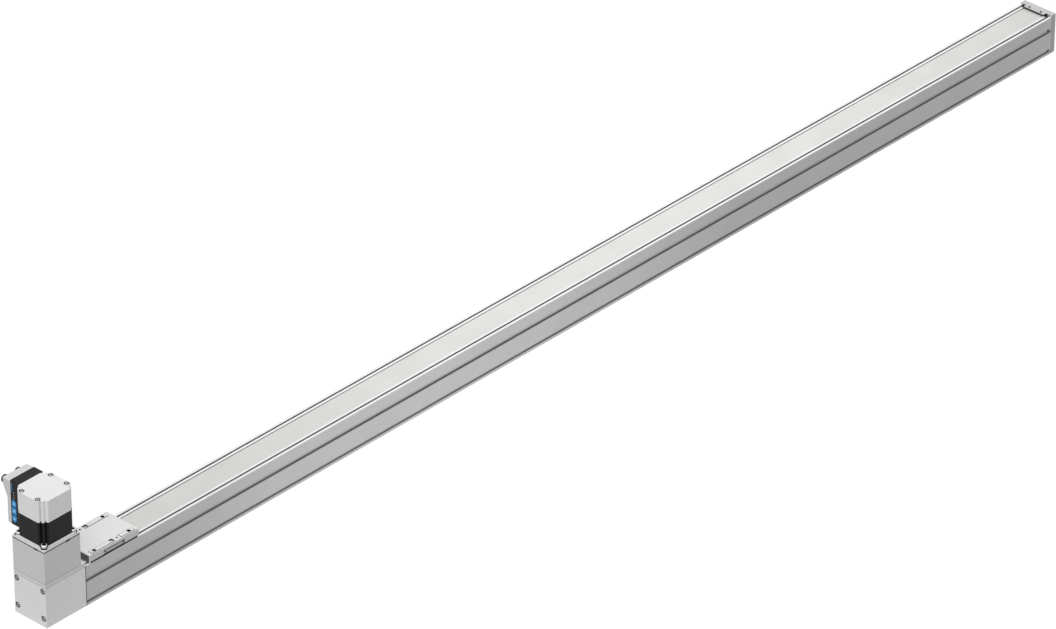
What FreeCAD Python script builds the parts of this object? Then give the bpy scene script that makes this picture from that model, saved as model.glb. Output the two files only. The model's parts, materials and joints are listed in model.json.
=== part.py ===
import FreeCAD, Part
import math
import os
import Sketcher

# Belt driven linear axis: +X runs along the guide from the drive head to the end cap, +Z is up.
# The origin is the middle of the profile's underside, at mid-length.

doc = FreeCAD.newDocument("BeltAxis")
sheet = doc.addObject("Spreadsheet::Sheet", "Sizes")
parts = {}


class Size:
    """A number that remembers how it is worked out from the cells of the sheet."""

    def __init__(self, value, text):
        self.value, self.text = value, text

    def __add__(self, other):
        return Size(self.value + number(other), f"({self.text} + {words(other)})")

    def __sub__(self, other):
        return Size(self.value - number(other), f"({self.text} - {words(other)})")

    def __mul__(self, other):
        return Size(self.value * number(other), f"({self.text} * {words(other)})")

    def __truediv__(self, other):
        return Size(self.value / number(other), f"({self.text} / {words(other)})")

    def __neg__(self):
        return Size(-self.value, f"(-1 * {self.text})")

    def __rsub__(self, other):
        return -self + other

    __radd__, __rmul__ = __add__, __mul__


def number(value):
    return value.value if isinstance(value, Size) else float(value)


def words(value):
    return value.text if isinstance(value, Size) else f"({float(value)!r})"


class Cells:
    """The driving dimensions, in millimetres, one cell each."""

    def __init__(self, **values):
        for row, (name, value) in enumerate(values.items(), 1):
            sheet.set(f"A{row}", name)
            sheet.set(f"B{row}", str(value))
            sheet.setAlias(f"B{row}", name)
            setattr(self, name, Size(value, f"Sizes.{name}"))
        doc.recompute()


s = Cells(
    # guide profile
    profileLength=2007, profileWidth=60, profileHeight=62.2,
    floorThickness=8, cavityWidth=41, roofThickness=6.2, neckOpening=24,
    stripSeatWidth=38.4, stripSeatDepth=0.8, magnetWidth=4, magnetDepth=2, magnetOffset=15.5, magnetGap=0.05,
    topGrooveOffset=24.7, topGrooveWidth=3, topGrooveDepth=3,
    sensorSlotHeight=38.6, sensorSlotMouth=3.2, sensorSlotWidth=5.2, sensorSlotLip=1.5, sensorSlotDepth=4.5,
    clampSlotHeight=5.2, clampSlotMouth=2.6, clampSlotDepth=2.8,
    chamberWall=1.8, chamberMiddleWall=1.9, chamberGap=4,
    channelOffset=24.5, channelLow=13, channelInset=6.2, channelRadius=2.5,
    slotEntryRadius=2.4, slotEntrySetback=4,
    # cover strip
    stripThickness=0.4, stripClearance=0.3, stripGrip=6, stripRelief=1,
    # rail and runner
    railWidth=12, railHeight=8, railSetback=2, railGroove=0.8, railScrewPitch=400,
    railScrewHead=2.75, railScrewDepth=4,
    runnerWidth=27, runnerHeight=10, runnerRise=3, runnerLength=36, runnerCapLength=5, runnerThread=1.65,
    # belt and pulleys
    beltPitch=3, beltWidth=12, beltBottom=26, beltBacking=1.18, pitchLineOffset=0.38,
    pulleyTeeth=26, toothDepth=1.1, toothRoot=1.9, toothTip=1.2, toothClearance=0.12, meshClearance=0.05,
    flangeOverhang=0.74, flangeThickness=1.2, pulleySideClearance=0.4,
    pulleyHubRadius=9, pulleyHubLength=10, shaftRadius=5, shaftPassage=2,
    shaftBearingRadius=13, shaftBearingWidth=8, bearingShelf=1, bearingCover=0.3,
    idlerSetback=16, idlerAxleRadius=2.5, idlerBearingRadius=8, idlerBearingWidth=5, idlerBearingInset=0.5,
    # drive head
    headLength=73.5, headWidth=60, headRise=0.1, headCavityGap=2, headCavityHeadroom=2.4,
    headCoverThickness=6.7,
    bearingBossWall=2.8, bearingBossFloor=1, coverScrewOffset=24, coverScrewRadius=2, coverScrewLength=12,
    coverScrewHead=3.5, coverScrewHeight=4, coverScrewSink=4.7,
    flangeScrewRadius=2.5, flangeScrewHead=4.25, flangeScrewTip=0.5,
    headScrewHead=4.25, headScrewHeight=5, headScrewSink=5.3, headScrewGrip=15,
    # coupling housing and motor
    blockLength=65.5, couplingHousingHeight=49.1, couplingBore=24, seamGap=0.8, seamInset=3,
    prySlotWidth=4.5, prySlotDepth=3, prySlotHeight=1.3, prySlotOffset=14.5, prySlotShift=11,
    motorPlateThickness=6, motorPlateFloor=3, motorPilotDepth=3.5, motorPilotWall=2, plateNotchRadius=6.3,
    motorLength=61.4, motorWidth=56.4, flangeHolesX=52.2, flangeHolesY=47.1, cornerCut=10.4, cornerGroove=4.6,
    stackLength=35.3, rearHousingLength=33.7,
    rearScrewInset=4.3, rearScrewSpacing=30, rearScrewRadius=1.8, rearScrewDepth=8,
    motorShaftRadius=4, rotorRadius=14.5, rotorGap=0.5, rotorEndGap=3, shaftEndGap=0.5,
    motorBearingRadius=11, motorBearingWidth=4, encoderRadius=8, encoderDepth=15,
    encoderGap=3,
    hubRadius=15, hubLength=14, jawHeight=12, jawGap=0.5, jawInner=6, jawAngle=40, legAngle=19, spiderGap=0.3,
    spiderBore=2.5,
    # drive box
    boxSetback=14.2, boxLength=43.5, boxWidth=16.6, boxGap=0.2, boxRadius=3, coverRadius=1.5,
    coverWidth=6.7, coverBulge=7.5, bulgeStart=28.9, bulgeEnd=13,
    buttonWidth=7.6, buttonHeight=9.6, buttonPitch=12, buttonInset=9.9, buttonOffset=11, buttonThickness=1.9,
    buttonStand=0.3, buttonTravel=0.8, buttonReserve=0.6, buttonGap=0.2,
    lightSize=1.8, lightInset=8, lightPitch=4.5, lightDepth=1.5, lightStand=0.15,
    socketFlange=7.2, socketFlangeThickness=1.2, socketRadius=6, socketBore=4.6, socketLength=6,
    socketDepth=3, socketInset=8, socketSpacing=24, socketDrop=9.5,
    # end cap
    capThickness=9.8, capInset=0.25, capRise=2.8, capPocketDepth=6, capPocketGap=3, capPocketHeadroom=0.4,
    capScrewHead=4.25, capScrewHeight=4.5, capScrewSink=5, capScrewGrip=13,
    tongueGap=0.2, tongueReach=5.5,
    tongueScrewOffset=11, tongueScrewInset=2, tongueScrewRadius=1.3, tongueScrewSink=0.4,
    bracketWidth=28, bracketArm=3.4, bracketGap=0.4, bracketReach=7, bracketSetback=1.5,
    tensionScrewRadius=2.5, tensionScrewHead=4.25, tensionScrewHeight=4, tensionScrewGrip=3.5,
    # end buffers
    bufferRadius=4.5, bufferLength=24, bufferDrop=7.5, bufferOffset=10,
    # slide
    slideLength=90, slideWidth=60, slideRise=1.8, slideThickness=11, endGap=8.5,
    padHeight=0.4, padWidth=6.5, longPadOuter=39, longPadInner=3, shortPadInner=15.5, shortPadOuter=40,
    padGrooveWidth=0.5, padGrooveDepth=0.6,
    threadSpacing=64, rowSpacing=49.6, threadRadius=2.1, threadDepth=9, centringRadius=3.5,
    centringDepth=2.4, pinHoleRadius=1, pinHoleOffset=10, pinHoleDepth=5,
    stripChannelWidth=39.2, stripChannelDepth=4, wiperThickness=1.8, wiperWidth=56.8, wiperLip=1.4,
    wiperRibs=5, wiperRibDepth=0.7, wiperGroove=3, wiperFrame=2, slotGap=0.3,
    sealWidth=1.8, sealInset=0.5, sealGap=0.4,
    sidePocketLength=39, sidePocketInset=1, sidePocketHeight=5.8, sidePocketDepth=1.5,
    greaseSpacing=32.4, greaseRise=3.5, greaseRadius=1.5, greaseLength=0.6,
    neckLength=42, neckFoot=3, neckFootInset=0.5, neckWebGap=1.1, beltHeadroom=3, shoulderRoofGap=2,
    shoulderGap=1.1, neckGap=1.5, neckRise=1, neckFlangeWidth=54, neckFlangeThickness=2,
    carriageScrewSpacing=24, carriageScrewRadius=1.6, carriageScrewHead=3.5, carriageScrewHeight=4,
    carriageScrewSink=5, carriageScrewGrip=3.5,
    clampLength=30, clampTeeth=9, clampWidth=5.6, clampDrop=1, clampScrewRadius=1.5, clampScrewSpacing=20,
    plateScrewRadius=1.5, plateScrewAlong=30, plateScrewSpacing=46.4, plateScrewDepth=5,
    humpFlat=50, humpRamp=18, guideGap=1, channelClearance=0.2,
    # screws and running gaps
    screwClearance=0.1, shaftClearance=0.05, seatClearance=0.1, pressClearance=0.02,
)

# Places along the axis and heights that several pieces share.
left = -s.profileLength / 2
right = s.profileLength / 2
headLeft = left - s.headLength
motorX = headLeft + s.blockLength / 2
idlerX = right - s.idlerSetback
slideX = left + s.endGap + s.slideLength / 2

stripSeat = s.profileHeight - s.stripSeatDepth
cavityTop = s.profileHeight - s.roofThickness
channelHigh = s.profileHeight - s.channelInset
railTop = s.floorThickness + s.railHeight
runnerTop = s.floorThickness + s.runnerRise + s.runnerHeight

pitchRadius = s.pulleyTeeth * s.beltPitch / (2 * math.pi)
landRadius = pitchRadius - s.pitchLineOffset
beltInner = landRadius + s.meshClearance
beltOuter = beltInner + s.beltBacking
beltTop = s.beltBottom + s.beltWidth
pulleyBottom = s.beltBottom - s.pulleySideClearance
pulleyTop = beltTop + s.pulleySideClearance
flangeRadius = beltOuter + s.flangeOverhang

headTop = s.profileHeight + s.headRise
cavityRadius = flangeRadius + s.headCavityGap
headCavityFloor = pulleyBottom - s.flangeThickness - s.headCavityHeadroom
headCavityTop = pulleyTop + s.flangeThickness + s.headCavityHeadroom
lowerBearing = headCavityFloor - s.bearingShelf - s.shaftBearingWidth
bossDepth = s.shaftBearingWidth + s.bearingCover + s.bearingBossFloor
blockBottom = headTop + s.headCoverThickness
blockTop = blockBottom + s.couplingHousingHeight
plateBottom = blockTop + s.seamGap
plateTop = plateBottom + s.motorPlateThickness
stackTop = plateTop + s.stackLength
motorTop = stackTop + s.rearHousingLength
boxBottom = plateTop + s.boxGap
boxLow = headLeft + s.boxSetback
buttonY = s.motorWidth / 2 + s.buttonOffset
couplingLow = blockTop - s.motorPilotDepth - s.hubLength * 2 - s.jawHeight

slideBottom = s.profileHeight + s.slideRise
slideTop = slideBottom + s.slideThickness
stripChannelTop = slideBottom + s.stripChannelDepth
wiperTop = slideTop - s.wiperLip
neckTop = slideBottom + s.neckRise
shoulderLow = beltTop + s.beltHeadroom
shoulderHigh = cavityTop - s.shoulderRoofGap
channels = [(y, z) for y in (-s.channelOffset, s.channelOffset) for z in (s.channelLow, channelHigh)]


def place(item, x=0, y=0, z=0):
    for axis, value in zip("xyz", (x, y, z)):
        item.setExpression(f"Placement.Base.{axis}", words(value))
    return item


def block(x, y, z):
    """A box between two values on each axis."""
    box = doc.addObject("Part::Box", "Block")
    for side, (low, high) in zip(("Length", "Width", "Height"), (x, y, z)):
        box.setExpression(side, words(high - low))
    return place(box, x[0], y[0], z[0])


TURNS = {
    "Z": FreeCAD.Rotation(),
    "X": FreeCAD.Rotation(FreeCAD.Vector(0, 1, 0), 90),
    "Y": FreeCAD.Rotation(FreeCAD.Vector(1, 0, 0), -90),
    "-X": FreeCAD.Rotation(FreeCAD.Vector(0, 1, 0), -90),
    "-Z": FreeCAD.Rotation(FreeCAD.Vector(1, 0, 0), 180),
}


def rod(radius, start, length, axis="Z", angle=None):
    """A cylinder from the point start, running along axis; angle makes it a sector."""
    cylinder = doc.addObject("Part::Cylinder", "Rod")
    cylinder.setExpression("Radius", words(radius))
    cylinder.setExpression("Height", words(length))
    cylinder.Placement = FreeCAD.Placement(FreeCAD.Vector(), TURNS[axis])
    if angle:
        first, sweep = angle
        cylinder.setExpression("Angle", words(sweep))
        turn = FreeCAD.Rotation(FreeCAD.Vector(0, 0, 1), first)
        cylinder.Placement = FreeCAD.Placement(FreeCAD.Vector(), turn)
    return place(cylinder, *start)


def bar(radius, start, length, axis="Z", sides=6):
    """A flat-sided bar from the point start, running along axis: small things that repeat."""
    prism = doc.addObject("Part::Prism", "Bar")
    prism.Polygon = sides
    prism.setExpression("Circumradius", words(radius))
    prism.setExpression("Height", words(length))
    prism.Placement = FreeCAD.Placement(FreeCAD.Vector(), TURNS[axis])
    return place(prism, *start)


def fuse(*items):
    if len(items) == 1:
        return items[0]
    joined = doc.addObject("Part::MultiFuse", "Joined")
    joined.Shapes = list(items)
    return joined


def cut(base, *tools):
    result = doc.addObject("Part::Cut", "Shaped")
    result.Base = base
    result.Tool = fuse(*tools)
    return result


def group(items):
    """Separate solids that share one node."""
    together = doc.addObject("Part::Compound", "Group")
    together.Links = list(items)
    return together


def keep(item, label):
    item.Label = label
    parts[label] = item
    return item


def originPlane(body, role):
    return next(feature for feature in body.Origin.OriginFeatures if feature.Role == role)


def closedLoop(sketch, points):
    """Straight edges through the points, every corner tied to the sheet."""
    first = sketch.GeometryCount
    count = len(points)
    corners = [FreeCAD.Vector(number(u), number(v), 0) for u, v in points]
    for i in range(count):
        sketch.addGeometry(Part.LineSegment(corners[i], corners[(i + 1) % count]), False)
    for i in range(count):
        sketch.addConstraint(Sketcher.Constraint("Coincident", first + i, 2, first + (i + 1) % count, 1))
    for i, point in enumerate(points):
        for kind, value in zip(("DistanceX", "DistanceY"), point):
            index = sketch.addConstraint(Sketcher.Constraint(kind, -1, 1, first + i, 1, number(value)))
            sketch.setExpression(f"Constraints[{index}]", words(value))


def circle(sketch, centre, radius):
    at = FreeCAD.Vector(number(centre[0]), number(centre[1]), 0)
    edge = sketch.addGeometry(Part.Circle(at, FreeCAD.Vector(0, 0, 1), number(radius)), False)
    for kind, value in zip(("DistanceX", "DistanceY"), centre):
        index = sketch.addConstraint(Sketcher.Constraint(kind, -1, 1, edge, 3, number(value)))
        sketch.setExpression(f"Constraints[{index}]", words(value))
    index = sketch.addConstraint(Sketcher.Constraint("Radius", edge, number(radius)))
    sketch.setExpression(f"Constraints[{index}]", words(radius))


def extrusion(name, role, loops, low, high, holes=()):
    """A body padded from an outline on one of its origin planes, from low to high along that plane's axis."""
    body = doc.addObject("PartDesign::Body", name)
    sketch = body.newObject("Sketcher::SketchObject", f"{name}Outline")
    sketch.AttachmentSupport = [(originPlane(body, role), "")]
    sketch.MapMode = "FlatFace"
    # The XZ plane's own normal points along -Y, so its outline starts at the high side.
    start = -high if role == "XZ_Plane" else low
    sketch.setExpression("AttachmentOffset.Base.z", words(start))
    for loop in loops:
        closedLoop(sketch, loop)
    for centre, radius in holes:
        circle(sketch, centre, radius)
    pad = body.newObject("PartDesign::Pad", f"{name}Pad")
    pad.Profile = sketch
    pad.setExpression("Length", words(high - low))
    body.Tip = pad
    return body


def mirrored(half):
    """A closed outline from its +u half, listed from one end of the middle line to the other."""
    return half + [(-u, v) for u, v in reversed(half)]


def roundEdges(body, radius, wanted):
    """Rounds the body's edges whose middle point passes the test."""
    doc.recompute()
    base = body.Tip
    names = [f"Edge{i}" for i, edge in enumerate(base.Shape.Edges, 1) if wanted(edge)]
    rounded = body.newObject("PartDesign::Fillet", "Rounding")
    rounded.Base = (base, names)
    rounded.setExpression("Radius", words(radius))
    body.Tip = rounded
    return body


def screw(seat, axis, shank, length, head, height):
    """A cap screw: its head stands on the seat, and its shank points along axis."""
    item = fuse(bar(shank, (0, 0, -length), length + height / 2), bar(head, (0, 0, 0), height, sides=12))
    turn = {"X": "-X", "-X": "X", "-Z": "Z", "Z": "-Z"}[axis]
    item.Placement = FreeCAD.Placement(FreeCAD.Vector(), TURNS[turn])
    return place(item, *seat)


def ring(outer, inner, start, length):
    """A ring of flat sides: its corners stay inside the outer radius, its flats outside the inner one."""
    sides = 16
    hole = bar(inner / math.cos(math.pi / sides), start, length, sides=sides)
    return cut(bar(outer, start, length, sides=sides), hole)


def corners(across, along):
    """The four corners of a rectangle about the middle."""
    return [(i * across, j * along) for i in (-1, 1) for j in (-1, 1)]


def makeProfile():
    """The extruded guide profile: cavity, strip seat, magnet grooves, side slots and screw channels."""
    half = s.profileWidth / 2
    cavity = s.cavityWidth / 2
    opening = s.neckOpening / 2
    seat = s.stripSeatWidth / 2
    magnetIn, magnetOut = s.magnetOffset - s.magnetWidth / 2, s.magnetOffset + s.magnetWidth / 2
    grooveIn, grooveOut = s.topGrooveOffset - s.topGrooveWidth / 2, s.topGrooveOffset + s.topGrooveWidth / 2
    slotLow, slotHigh = s.sensorSlotHeight - s.sensorSlotMouth / 2, s.sensorSlotHeight + s.sensorSlotMouth / 2
    wideLow, wideHigh = s.sensorSlotHeight - s.sensorSlotWidth / 2, s.sensorSlotHeight + s.sensorSlotWidth / 2
    clampLow, clampHigh = s.clampSlotHeight - s.clampSlotMouth / 2, s.clampSlotHeight + s.clampSlotMouth / 2
    outline = [
        (cavity, s.floorThickness), (cavity, cavityTop), (opening, cavityTop), (opening, stripSeat),
        (magnetIn, stripSeat), (magnetIn, stripSeat - s.magnetDepth),
        (magnetOut, stripSeat - s.magnetDepth), (magnetOut, stripSeat),
        (seat, stripSeat), (seat, s.profileHeight),
        (grooveIn, s.profileHeight), (grooveIn, s.profileHeight - s.topGrooveDepth),
        (grooveOut, s.profileHeight - s.topGrooveDepth), (grooveOut, s.profileHeight),
        (half, s.profileHeight), (half, slotHigh), (half - s.sensorSlotLip, slotHigh),
        (half - s.sensorSlotLip, wideHigh), (half - s.sensorSlotDepth, wideHigh),
        (half - s.sensorSlotDepth, wideLow), (half - s.sensorSlotLip, wideLow),
        (half - s.sensorSlotLip, slotLow), (half, slotLow),
        (half, clampHigh), (half - s.clampSlotDepth, clampHigh), (half - s.clampSlotDepth, clampLow),
        (half, clampLow), (half, 0),
    ]
    inner, outer = cavity + s.chamberWall, half - s.chamberWall
    low = [s.channelLow + s.chamberGap, wideLow - s.chamberMiddleWall]
    high = [wideHigh + s.chamberMiddleWall, channelHigh - s.chamberGap]
    chambers = [
        [(side * inner, bottom), (side * outer, bottom), (side * outer, top), (side * inner, top)]
        for side in (-1, 1)
        for bottom, top in (low, high)
    ]
    holes = [(centre, s.channelRadius) for centre in channels]
    body = extrusion("GuideProfile", "YZ_Plane", [mirrored(outline)] + chambers, left, right, holes)
    entries = []
    for height, depth in ((s.sensorSlotHeight, s.sensorSlotDepth), (s.clampSlotHeight, s.clampSlotDepth)):
        for y in (-half, half - depth):
            start = (right - s.slotEntrySetback, y, height)
            entries.append(bar(s.slotEntryRadius, start, depth, "Y", sides=8))
    keep(cut(body, *entries), "guide_profile")

    wide = s.magnetWidth / 2 - s.magnetGap
    magnets = [block((left, right), (y - wide, y + wide), (stripSeat - s.magnetDepth, stripSeat))
               for y in (-s.magnetOffset, s.magnetOffset)]
    keep(group(magnets), "magnet_strips")


def makeStrip():
    """The steel strip lies in its seat and humps over the slide's neck flange."""
    flat, ramp = s.humpFlat / 2, s.humpFlat / 2 + s.humpRamp
    raised = neckTop + s.stripClearance
    under = [
        (left - s.stripGrip, stripSeat), (slideX - ramp, stripSeat), (slideX - flat, raised),
        (slideX + flat, raised), (slideX + ramp, stripSeat), (right - s.seatClearance, stripSeat),
    ]
    over = [(x, z + s.stripThickness) for x, z in reversed(under)]
    half = s.stripSeatWidth / 2 - s.seatClearance
    keep(extrusion("CoverStrip", "XZ_Plane", [under + over], -half, half), "cover_strip")


def railScrewPlaces():
    length = s.profileLength - s.railSetback * 2
    count = max(2, int(number(length) // number(s.railScrewPitch)))
    return [(i - (count - 1) / 2) * s.railScrewPitch for i in range(count)]


def makeRail():
    """The ball guide rail with its side tracks, and the screws that hold it to the profile's floor."""
    half, low = s.railWidth / 2, s.floorThickness
    track = half - s.railGroove
    outline = [
        (half, low), (half, low + s.railHeight * 0.4), (track, low + s.railHeight * 0.5),
        (track, low + s.railHeight * 0.65), (half, low + s.railHeight * 0.75), (half, railTop),
    ]
    rail = extrusion("GuideRail", "YZ_Plane", [mirrored(outline)],
                     left + s.railSetback, right - s.railSetback)
    seat = railTop - s.railScrewDepth
    holes, screws = [], []
    for x in railScrewPlaces():
        holes.append(bar(s.railScrewHead + s.screwClearance, (x, 0, seat), s.railScrewDepth, sides=12))
        screws.append(bar(s.railScrewHead, (x, 0, seat), s.railScrewHead, sides=12))
    keep(cut(rail, *holes), "guide_rail")
    keep(group(screws), "rail_screws")


def toothOutline(grow):
    """One trapezoid tooth across +X, from inside the belt's band to its tip near the pulley's axis."""
    root, tip = s.toothRoot / 2 + grow, s.toothTip / 2 + grow
    base, end = landRadius + s.beltBacking / 2, landRadius - s.toothDepth - grow
    return [(base, -root), (base, root), (landRadius, root), (end, tip), (end, -tip), (landRadius, -root)]


def toothedRim(bottom, top):
    """The drive pulley's rim at the origin: one tooth space, repeated round the axis."""
    body = doc.addObject("PartDesign::Body", "ToothedRim")
    sketches = []
    for name in ("RimDisc", "ToothSpace"):
        sketch = body.newObject("Sketcher::SketchObject", name)
        sketch.AttachmentSupport = [(originPlane(body, "XY_Plane"), "")]
        sketch.MapMode = "FlatFace"
        sketch.setExpression("AttachmentOffset.Base.z", words(bottom))
        sketches.append(sketch)
    disc, space = sketches
    circle(disc, (0, 0), landRadius)
    closedLoop(space, toothOutline(s.toothClearance))
    pad = body.newObject("PartDesign::Pad", "RimPad")
    pad.Profile = disc
    pocket = body.newObject("PartDesign::Pocket", "ToothPocket")
    pocket.Profile = space
    pocket.Reversed = True
    for feature in (pad, pocket):
        feature.setExpression("Length", words(top - bottom))
    pattern = body.newObject("PartDesign::PolarPattern", "ToothPattern")
    pattern.Originals = [pocket]
    pattern.Axis = (disc, ["N_Axis"])
    pattern.Angle = 360
    pattern.setExpression("Occurrences", words(s.pulleyTeeth))
    body.Tip = pattern
    return body


def makePulleys():
    """Toothed drive pulley with its hub, and smooth idler pulley with two bearings inside."""
    height = pulleyTop - pulleyBottom
    flangeLow = pulleyBottom - s.flangeThickness

    def flanges(x):
        return [rod(flangeRadius, (x, 0, z), s.flangeThickness) for z in (flangeLow, pulleyTop)]

    hubTop = pulleyTop + s.flangeThickness + s.pulleyHubLength
    hub = rod(s.pulleyHubRadius, (motorX, 0, pulleyTop), hubTop - pulleyTop)
    bore = rod(s.shaftRadius, (motorX, 0, flangeLow), hubTop - flangeLow)
    rim = place(toothedRim(pulleyBottom, pulleyTop), motorX)
    keep(cut(fuse(rim, *flanges(motorX), hub), bore), "drive_pulley")

    smooth = rod(landRadius, (idlerX, 0, pulleyBottom), height)
    bore = rod(s.idlerBearingRadius, (idlerX, 0, flangeLow), height + s.flangeThickness * 2)
    keep(cut(fuse(smooth, *flanges(idlerX)), bore), "idler_pulley")
    bearings = [
        ring(s.idlerBearingRadius, s.idlerAxleRadius + s.shaftClearance, (idlerX, 0, z), s.idlerBearingWidth)
        for z in (pulleyBottom + s.idlerBearingInset, pulleyTop - s.idlerBearingInset - s.idlerBearingWidth)
    ]
    keep(group(bearings), "idler_bearings")


def beltTooth(x, turn, grow=0):
    """A belt tooth, turned about the upright line at x; turn 0 points along +X."""
    tooth = extrusion("BeltTooth", "XY_Plane", [toothOutline(grow)], s.beltBottom, beltTop)
    tooth.Placement = FreeCAD.Placement(FreeCAD.Vector(), FreeCAD.Rotation(FreeCAD.Vector(0, 0, 1), turn))
    return place(tooth, x)


def beltTeeth():
    """Belt teeth on the half turn round the drive pulley and at the slide's clamp."""
    step = 360 / number(s.pulleyTeeth)
    half = int(number(s.pulleyTeeth) / 4)
    round_ = [beltTooth(motorX, 180 + i * step) for i in range(-half, half + 1)]
    return round_ + [beltTooth(x, -90) for x in clampPitches()]


def clampPitches():
    count = int(number(s.clampTeeth))
    return [slideX + (i - (count - 1) / 2) * s.beltPitch for i in range(count)]


def makeBelt():
    """The toothed belt stands on edge and runs round both pulleys."""
    def loop(radius):
        ends = [rod(radius, (x, 0, s.beltBottom), s.beltWidth) for x in (motorX, idlerX)]
        return fuse(block((motorX, idlerX), (-radius, radius), (s.beltBottom, beltTop)), *ends)

    keep(fuse(cut(loop(beltOuter), loop(beltInner)), *beltTeeth()), "toothed_belt")


def shaftBearings(radius, bore, width, heights):
    """Plain rings that stand for a shaft's ball bearings."""
    outer, inner = radius - s.pressClearance, bore + s.shaftClearance
    return group([ring(outer, inner, (motorX, 0, z), width) for z in heights])


def makeHead():
    """Drive head housing, its cover with the upper bearing, and the screws into the profile's channels."""
    half = s.headWidth / 2
    shaftHole = s.shaftRadius + s.shaftPassage
    seat = s.stripSeatWidth / 2
    housing = block((headLeft, left), (-half, half), (0, headTop))
    tools = [
        rod(cavityRadius, (motorX, 0, headCavityFloor), headTop - headCavityFloor),
        block((motorX, left), (-cavityRadius, cavityRadius), (headCavityFloor, headCavityTop)),
        rod(s.shaftBearingRadius, (motorX, 0, lowerBearing), headCavityFloor - lowerBearing),
        bar(shaftHole, (motorX, 0, lowerBearing - s.bearingShelf), s.shaftBearingWidth, sides=12),
        block((left - s.stripGrip - s.stripRelief, left), (-seat, seat), (stripSeat, headTop)),
    ]
    screws = []
    for y, z in channels:
        tools.append(bar(s.channelRadius + s.screwClearance, (headLeft, y, z), s.headLength, "X"))
        tools.append(bar(s.headScrewHead + s.screwClearance, (headLeft, y, z), s.headScrewSink, "X", 16))
        length = s.headLength - s.headScrewSink + s.headScrewGrip
        screws.append(screw((headLeft + s.headScrewSink, y, z), "X", s.channelRadius - s.screwClearance,
                            length, s.headScrewHead, s.headScrewHeight))
    screwSeat = blockBottom - s.coverScrewSink
    coverScrews, coverHoles = [], []
    for x in (motorX - s.coverScrewOffset, motorX + s.coverScrewOffset):
        tools.append(bar(s.coverScrewRadius, (x, 0, headTop - s.coverScrewLength), s.coverScrewLength))
        coverHoles.append(bar(s.coverScrewRadius, (x, 0, headTop), s.headCoverThickness))
        wide = s.coverScrewHead + s.screwClearance
        coverHoles.append(bar(wide, (x, 0, screwSeat), s.coverScrewSink, sides=12))
        coverScrews.append(screw((x, 0, screwSeat), "-Z", s.coverScrewRadius - s.screwClearance,
                                 s.coverScrewLength, s.coverScrewHead, s.coverScrewHeight))
    keep(cut(housing, *tools), "drive_head_housing")
    keep(group(screws), "head_screws")
    keep(group(coverScrews), "housing_screws")

    boss = s.shaftBearingRadius + s.bearingBossWall
    bossLow = headTop - bossDepth
    cover = fuse(
        block((headLeft, left), (-half, half), (headTop, blockBottom)),
        rod(boss, (motorX, 0, bossLow), bossDepth + s.headCoverThickness / 2),
    )
    for x, y in corners(s.flangeHolesX / 2, s.flangeHolesY / 2):
        coverHoles.append(bar(s.flangeScrewRadius, (motorX + x, y, headTop), s.headCoverThickness))
    pocket = rod(s.shaftBearingRadius, (motorX, 0, bossLow), bossDepth - s.bearingCover)
    passageLow = headTop - s.bearingCover
    passage = bar(shaftHole, (motorX, 0, passageLow), blockBottom - passageLow, sides=12)
    keep(cut(cover, pocket, passage, *coverHoles), "drive_head_cover")

    upperBearing = headTop - s.bearingCover - s.shaftBearingWidth
    bearingHeights = (lowerBearing, upperBearing)
    keep(shaftBearings(s.shaftBearingRadius, s.shaftRadius, s.shaftBearingWidth, bearingHeights),
         "shaft_bearings")


def prySlots(top):
    """Small slots in the seam for levering the motor plate off, one in each side."""
    slots = []
    half, wide, deep = s.headWidth / 2, s.prySlotWidth / 2, s.prySlotDepth
    low = top - s.prySlotHeight
    for side in (-1, 1):
        face = motorX + side * s.blockLength / 2
        slots.append(block((face - deep, face + deep),
                           (side * s.prySlotOffset - wide, side * s.prySlotOffset + wide), (low, top)))
        slots.append(block((motorX - side * s.prySlotShift - wide, motorX - side * s.prySlotShift + wide),
                           (side * half - deep, side * half + deep), (low, top)))
    return slots


def makeCouplingHousing():
    """The block over the head that holds the shaft coupling."""
    half, reach = s.headWidth / 2, s.blockLength / 2
    housing = block((motorX - reach, motorX + reach), (-half, half), (blockBottom, blockTop))
    tools = [rod(s.couplingBore, (motorX, 0, blockBottom), s.couplingHousingHeight)] + prySlots(blockTop)
    for x, y in corners(s.flangeHolesX / 2, s.flangeHolesY / 2):
        tools.append(bar(s.flangeScrewRadius, (motorX + x, y, blockBottom), s.couplingHousingHeight))
    keep(cut(housing, *tools), "coupling_housing")


def plateNotches():
    """Open corner pockets that let the flange screws down to the plate's milled floor."""
    low = plateBottom + s.motorPlateFloor
    height = plateTop - low
    notches = []
    for i, j in corners(1, 1):
        x, y = motorX + i * s.flangeHolesX / 2, j * s.flangeHolesY / 2
        edgeX, edgeY = motorX + i * s.blockLength / 2, j * s.headWidth / 2
        notches.append(bar(s.plateNotchRadius, (x, y, low), height, sides=20))
        spanX = (x, edgeX) if i > 0 else (edgeX, x)
        spanY = (y, edgeY) if j > 0 else (edgeY, y)
        notches.append(block(spanX, spanY, (low, plateTop)))
    return notches


def motorForm(name, low, high):
    """A length of the motor's body: corners cut at 45 degrees, grooved over the flange screws."""
    x, y, corner = s.motorLength / 2, s.motorWidth / 2, s.cornerCut
    half = [(x - corner, -y), (x, corner - y), (x, y - corner), (x - corner, y)]
    outline = [(motorX + u, v) for u, v in half] + [(motorX - u, v) for u, v in reversed(half)]
    body = extrusion(name, "XY_Plane", [outline], low, high)
    grooves = [bar(s.cornerGroove, (motorX + u, v, low), high - low, sides=20)
               for u, v in corners(s.flangeHolesX / 2, s.flangeHolesY / 2)]
    return body, grooves


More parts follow.
